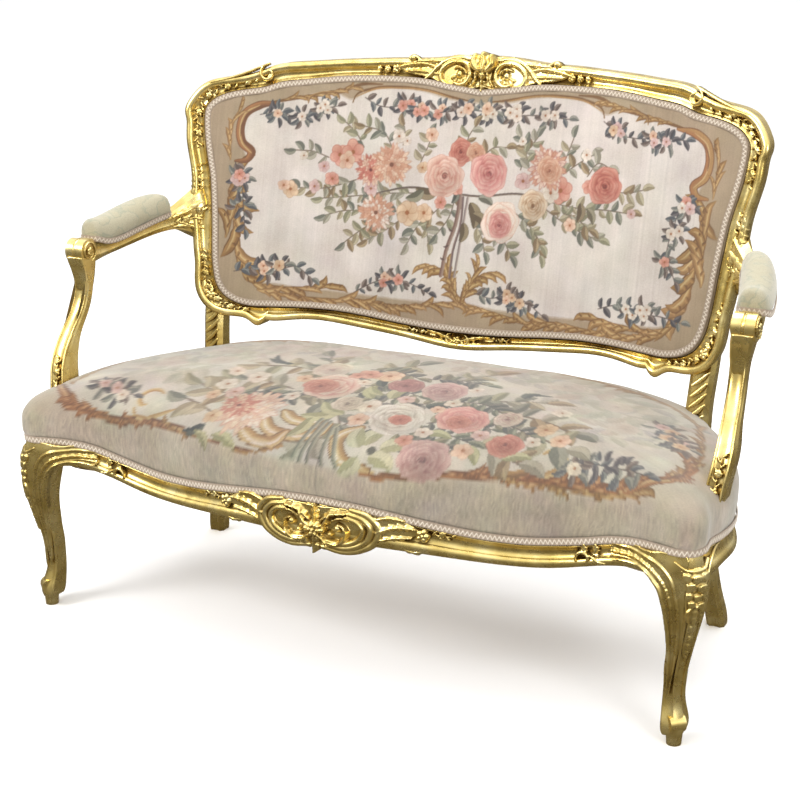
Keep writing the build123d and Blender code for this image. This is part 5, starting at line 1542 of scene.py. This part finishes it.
def apron_cartouche():
    """Carving at the middle of the front rail: a flower between two fluted scrolls."""
    board = Carving(-250, 238, 250, 327, 1.1)
    scroll = np.array([(66, 324), (99, 315), (115, 295), (108, 272), (84, 255), (50, 247),
                       (12, 251)])
    eye = (44, 288)
    for side, _ in SIDES:
        at = on_side(side)
        board.bed(at((0, 322), (70, 323), (110, 316), (170, 310), (186, 298), (160, 284),
                     (112, 272), (84, 255), (50, 247), (0, 248)), 5)
        for share, width, height in ((1.0, 13, 10), (0.81, 12.5, 12.5), (0.62, 12, 14.5)):
            board.rod(at(*(eye + (scroll - eye) * share)), width, height, taper=0.30)
        board.ball(side * 44, 290, 8, 17)
        board.ball(side * 30, 278, 6, 17)
        leaves(board, at, (
            (((20, 262), (44, 262), (58, 276), (56, 292), (44, 298)), 17, 17, 4),
            (((10, 298), (30, 312), (58, 317)), 18, 15, 4),
            (((30, 300), (48, 308), (72, 304)), 13, 13, 3),
            (((110, 290), (142, 303), (180, 304)), 24, 10, 5),
            (((112, 276), (140, 284), (172, 288)), 19, 9, 4),
            (((102, 310), (130, 318), (162, 316)), 13, 8, 4),
            (((150, 268), (174, 262), (200, 269)), 13, 5, 3),
            (((2, 286), (18, 294), (28, 310)), 19, 19, 3),
            (((2, 276), (16, 268), (26, 254)), 19, 18, 3)))
        board.flower(side * 190, 294, 13, 10)
        board.vine(at((198, 296), (218, 297), (244, 294)), 15, 5)
        board.ball(side * 15, 283, 8, 20)
    board.leaf([(0, 276), (0, 258), (0, 240)], 30, 18, 3)
    board.leaf([(0, 292), (0, 308), (0, 326)], 22, 16, 3)
    board.flower(0, 283, 16, 22, 6)
    carved("apron_carving", board, on_front_rail, ground=1.0, depth=8.0)


def rail_ends(side, name):
    """Leaves under the braid towards a knee, and the curl that ends the rail's moulding."""
    at = on_side(side)
    board = board_on(side, 430, 262, 500, 330)
    for x, z in ((452, 300), (472, 304)):
        board.leaf(at((x, z + 9), (x, z), (x, z - 8)), 17, 5, 3)
        board.ball(side * x, z, 4, 6)
    board.rod(at(*arc(452, 285, (14, 5), 210, -90, 14)), 7, 8)
    board.leaf(at((462, 292), (476, 284), (492, 284)), 12, 6, 3)
    carved(name + "_rail_leaves", board, on_front_rail, ground=1.0, depth=6.0)


def knee_carving(side, name):
    """Blocks, a leaf and hanging husks down the canted band of a front knee."""
    board = Carving(-34, 140, 34, 333, 1.1)
    board.bed([(-24, 310), (0, 314), (24, 310), (16, 270), (9, 230), (5, 160), (0, 146),
               (-5, 160), (-9, 230), (-16, 270)], 2.5)
    board.rod([(-31, 321), (-16, 312), (0, 309), (16, 312), (31, 321)], 6, 5, taper=0.2)
    for level, row, wide, tall in (
            (298, (-14, 1, 15), 14, 14), (282, (-8, 8), 15, 15), (267, (-11, 1, 12), 11, 13),
            (254, (-6, 6), 11, 11)):
        for n, x in enumerate(row):
            board.block(x, level + (1.5, -1.5, 1)[n], wide, tall, 6.5 + (n % 2))
    for s in (1, -1):
        board.leaf([(s * 5, 250), (s * 11, 240), (s * 8, 222)], 12, 6.5, 3)
    board.leaf([(0, 252), (0, 236), (0, 216)], 13, 8, 3)
    for level, size in ((220, 21), (201, 18), (185, 15), (171, 12), (160, 9)):
        board.leaf([(0, level), (0, level - size * 0.5), (0, level - size)], size * 0.72, 6, 3)
        board.ball(0, level - size * 0.30, size * 0.26, 7)
    carved(name + "_knee_carving", board, on_knee(side), ground=0.0, depth=4.0)


def on_knee_face(x, z, out):
    """Maps a drawing to the face that leads from the rail into the front of a leg."""
    ease = np.clip((np.abs(x) - 528) / 66, 0, 1)
    drop = np.clip((306 - z) / 26, 0, 1)
    share = np.maximum(ease * ease * (3 - 2 * ease), drop * drop * (3 - 2 * drop))
    y = front_face(x) * (1 - share) + between(LEG_SECTIONS, z, 3) * share
    return row_point(x, y - out, z)


def knee_moulding(side, name):
    """Mouldings that leave the front rail and run down a leg's inner edge, leaves between."""
    edge = [(498, 298), (540, 300), (568, 294), (587, 277), (597, 250), (604, 205), (605, 150),
            (604, 96)]
    inner = [(498, 320), (548, 321), (586, 314), (607, 294), (618, 262), (622, 222), (618, 165),
             (608, 92)]
    border = [(607, 84), (612, 110), (620, 152), (628, 190), (632, 222), (633, 262), (634, 290),
              (634, 329), (560, 329), (498, 326)]
    chain = curve_through([(498, 309), (520, 310), (550, 310), (574, 304), (592, 289), (604, 268),
                           (610, 244), (612, 214), (612, 180)], 12.5)
    at = on_side(side)
    board = board_on(side, 492, 84, 640, 333, 1.1)
    board.bed(at(*(edge + border)), 0.8)
    board.rod(at(*edge), 7.0, 5, taper=0.6)
    board.rod(at(*inner), 5.0, 4.2, taper=0.7)
    for n, (start, end) in enumerate(zip(chain[:-1], chain[1:])):
        wide = 12.5 - 0.45 * n
        over = end + (end - start) * 0.25
        board.leaf(at(start, (start + over) / 2, over), wide, 5.6 - 0.15 * n, 2)
        board.ball(side * end[0], end[1], wide * 0.22, 7.0 - 0.2 * n)
    carved(name + "_knee_moulding", board, on_knee_face, ground=1.2, depth=15.0)


def arm_carvings(side, name):
    """Flowers down a support, rosettes on its scroll, leaves where the arm meets the back."""
    front = Carving(-19, 334, 19, 620, 1.2)
    for s in (1, -1):
        front.rod([(s * 11.5, 618), (s * 11.5, 520), (s * 12.5, 430), (s * 12, 375), (s * 7, 347),
                   (0, 340)], 5, 3.5, taper=0.1)
    front.vine([(0, 352), (0, 400), (0, 462)], 15, 5)
    for z, radius, height in ((368, 9, 7), (404, 8, 7), (434, 6.5, 6)):
        front.flower(0, z, radius, height)
    carved(name + "_support_flowers", front, on_support(side), ground=-1.5, depth=4.0)
    arm_neck(side, name)
    for hand, face in ((1, "outer"), (-1, "inner")):
        scroll = Carving(-128, 622, -72, 674, 1.2)
        scroll.rod(arc(SCROLL[0], SCROLL[1], (20, 12), -70, 330, 30), 4.5, 3.5, taper=0.2)
        scroll.flower(SCROLL[0], SCROLL[1], 9, 6)
        carved(name + "_scroll_" + face, scroll, on_arm(side, hand), ground=0.0, depth=3.0)
        joint = Carving(100, 640, 170, 722, 1.2)
        joint.vine([(106, 668), (130, 672), (152, 684), (164, 704)], 20, 5)
        joint.leaf([(110, 682), (135, 692), (158, 712)], 13, 5, 4)
        joint.leaf([(112, 664), (138, 662), (162, 654)], 13, 5, 4)
        carved(name + "_arm_leaf_" + face, joint, on_arm(side, hand), ground=-1.0, depth=4.0)
    post = Carving(-24, 396, 24, 512, 1.2)
    for z in range(392, 392 + 6 * 19, 19):
        post.rod([(-side * 13, z + 3), (-side * 2, z + 12), (side * 13, z + 28)], 9, 3.6,
                 taper=0.3)
    carved(name + "_post_leaf", post, on_post(side), ground=-1.0, depth=5.0)


def arm_neck(side, name):
    """The top of an arm support, which widens until it is one with the arm's scroll."""
    rows = [(574, -117.5, -95.5, 13.5), (588, -118, -91, 15), (602, -119.5, -87.5, 16.6),
            (616, -122, -84, 18), (628, -125.5, -81, 18.9), (640, -127.5, -79, 19.3)]
    mesh, u, v = flat_grid(64, 24)
    z = rows[0][0] + (rows[-1][0] - rows[0][0]) * v
    turn = u * 2 * math.pi
    front, rear, half = (between(rows, z, k) for k in (1, 2, 3))
    across, deep = evened(np.cos(turn), 0.32), evened(np.sin(turn), 0.32)
    groove = np.where(deep < -0.9, 2.2 * np.exp(-(across / 0.42) ** 2), 0)
    middle = between(SUPPORT_SECTIONS, z, 3) + np.clip((z - 622) / 18, 0, 1) * 3
    y = (front + rear) / 2 + deep * (rear - front) / 2 + groove
    placed(mesh, row_point(side * (middle + across * half), y, z))
    closed_below(mesh)
    finished(name + "_arm_neck", mesh, GOLD)


def back_frame_carvings(side, name):
    """A curl at the shoulder, vines in the cove of the corners, and leaves on the stile."""
    at = on_side(side)
    top = board_on(side, 395, 800, 592, 990)
    top.rod(at(*arc(438, 957, (17, 6), 80, -250, 18)), 8, 11)
    top.leaf(at((440, 966), (434, 956), (442, 944)), 13, 9, 3)
    top.rod(at((438, 976), (470, 962), (512, 947), (548, 938)), 6.5, 10, taper=0.3)
    top.vine(at((448, 952), (486, 940), (530, 928), (560, 906), (567, 872), (564, 842),
                (560, 812)), 17, 5)
    carved(name + "_shoulder_carving", top, on_back, ground=0.5, depth=6.0)
    stile = board_on(side, 510, 660, 590, 800)
    stile.leaf(at((566, 706), (560, 738), (566, 774)), 18, 9, 6)
    stile.vine(at((540, 672), (545, 700), (549, 735), (556, 780)), 15, 5)
    stile.leaf(at((556, 704), (550, 688), (545, 664)), 16, 7, 3)
    carved(name + "_stile_carving", stile, on_back, ground=1.0, depth=7.0)
    foot = board_on(side, 425, 476, 560, 630)
    foot.vine(at((534, 622), (530, 585), (520, 550), (500, 520), (468, 503), (432, 497)), 16, 5)
    foot.flower(side * 512, 528, 11, 8)
    carved(name + "_corner_carving", foot, on_back, ground=0.5, depth=6.0)


def bottom_rail_carving():
    """The small ornament at the middle of the back's bottom rail."""
    rail = Carving(-116, 455, 116, 500)
    for side, _ in SIDES:
        at = on_side(side)
        rail.leaf(at((6, 472), (34, 482), (66, 488)), 15, 7, 4)
        rail.leaf(at((8, 468), (30, 470), (52, 474)), 10, 6, 3)
        rail.vine(at((60, 484), (84, 485), (110, 486)), 10, 4)
        rail.rod(at(*arc(14, 474, (12, 4), 90, -160, 12)), 6, 8)
    rail.flower(0, 474, 10, 10)
    carved("bottom_rail_carving", rail, on_back, ground=2.0, depth=8.0)


def leg_lines(side, name):
    """Raised lines that run from the rails' upper bead down both edges of a knee's band."""
    rows = np.array([(z,) + tuple(between(LEG_SECTIONS, z, k) for k in (1, 2, 3, 4))
                     for z in (285, 230, 170, 110, 75)])
    band = LEG_BAND * np.minimum(rows[:, 1] - rows[:, 2], rows[:, 4] - rows[:, 3])
    inner = np.stack([rows[:, 1] - band, rows[:, 3] - 0.5, rows[:, 0]], 1)
    start = [(650, -190, 322), (652, -232, 324), (656, -262, 319), (658, -283, 306)]
    outer = np.vstack([start, np.stack([rows[:, 1] + 0.5, rows[:, 3] + band, rows[:, 0]], 1)])
    for line, part, out in ((inner, "front", (0.25, -1, 0)), (outer, "side", (1, -0.25, 0))):
        line = curve_through(line, 3)
        place = row_point(side * line[:, 0], line[:, 1], line[:, 2])
        bead(name + "_knee_line_" + part, place, np.array(out) * (side, 1, 1), 4.2, 3.2)


def bead(name, line, outward, width, height):
    """Raised line of gilt wood, rounded on top and tapered to its ends."""
    mesh, u, v = flat_grid(len(line) - 1, 10)
    i = np.clip(np.rint(u * (len(line) - 1)).astype(int), 0, len(line) - 1)
    along = unit(np.gradient(line, axis=0))
    across = unit(np.cross(along, outward))
    up = np.cross(across, along)
    size = np.clip(np.sin(u * math.pi) * 4, 0, 1) ** 0.5 * 0.001
    turn = v * 2 * math.pi
    placed(mesh, line[i] + across[i] * (np.cos(turn) * width / 2 * size)[:, None]
           + up[i] * (np.sin(turn) * height * size)[:, None])
    closed_below(mesh, merge=1e-6, cap=False)
    finished(name, mesh, GOLD)


# ---------------------------------------------------------------- room, light and camera
def studio():
    """Pale floor, soft lamps and the photograph's camera."""
    mesh, u, v = flat_grid(2, 2)
    placed(mesh, np.stack([(u - 0.5) * 80, (v - 0.5) * 80, 0 * u], 1))
    floor = bpy.data.objects.new("studio_floor", mesh)
    bpy.context.scene.collection.objects.link(floor)
    material, _, body = shader("pale_floor", roughness=0.9)
    body.inputs["Base Color"].default_value = (0.92, 0.92, 0.92, 1)
    mesh.materials.append(material)
    floor.visible_glossy = False
    studio_air()
    for name, place, size, power in (
            ("key", (-2.4, -3.0, 3.2), 1.6, 120), ("fill", (3.2, -2.4, 2.2), 1.4, 50),
            ("top", (0.2, 0.4, 3.6), 2.4, 90)):
        lamp = bpy.data.lights.new(name, "AREA")
        lamp.size, lamp.energy = size, power
        light = bpy.data.objects.new(name, lamp)
        bpy.context.scene.collection.objects.link(light)
        light.location = place
        aim = Vector((0, 0, 0.5)) - Vector(place)
        light.rotation_euler = aim.to_track_quat("-Z", "Y").to_euler()
    lens = bpy.data.cameras.new("photo_view")
    lens.lens, lens.sensor_width = CAMERA_LENS, 36.0
    camera = bpy.data.objects.new("photo_view", lens)
    bpy.context.scene.collection.objects.link(camera)
    camera.location = CAMERA_PLACE
    camera.rotation_euler = (math.radians(90 - CAMERA_DOWN), 0, math.radians(CAMERA_TURN))
    bpy.context.scene.camera = camera
    bpy.context.scene.view_settings.view_transform = "Standard"


def studio_air():
    """Light of the room: bright overhead, dim at the level of the eye."""
    world = bpy.data.worlds.new("studio_air")
    world.use_nodes = True
    tree = world.node_tree
    nodes, links = tree.nodes, tree.links
    axes = nodes.new("ShaderNodeSeparateXYZ")
    links.new(nodes.new("ShaderNodeTexCoord").outputs["Generated"], axes.inputs[0])
    height = nodes.new("ShaderNodeMapRange")
    height.inputs["From Min"].default_value, height.inputs["From Max"].default_value = -1, 1
    links.new(axes.outputs["Z"], height.inputs["Value"])
    glow = ramp(tree, height.outputs["Result"], [
        (0.0, (0.12, 0.10, 0.075)), (0.46, (0.17, 0.15, 0.12)), (0.56, (0.42, 0.41, 0.39)),
        (0.72, (0.75, 0.75, 0.75)), (0.82, (1.3, 1.3, 1.3)), (1.0, (1.3, 1.3, 1.3))])
    links.new(glow, nodes["Background"].inputs["Color"])
    nodes["Background"].inputs["Strength"].default_value = 1.0
    bpy.context.scene.world = world


def both_sides(*makers):
    """Makes the right and then the left one of each kind of piece."""
    for make in makers:
        for side, name in SIDES:
            make(side, name)


dress_frame()
back_panel()
seat_cushion()
outside_back()
frame_braids()
both_sides(arm_pad)
dust_cloth()
crest_cartouche()
apron_cartouche()
both_sides(rail_ends, knee_carving, knee_moulding, arm_carvings, back_frame_carvings)
bottom_rail_carving()
both_sides(leg_lines)
studio()
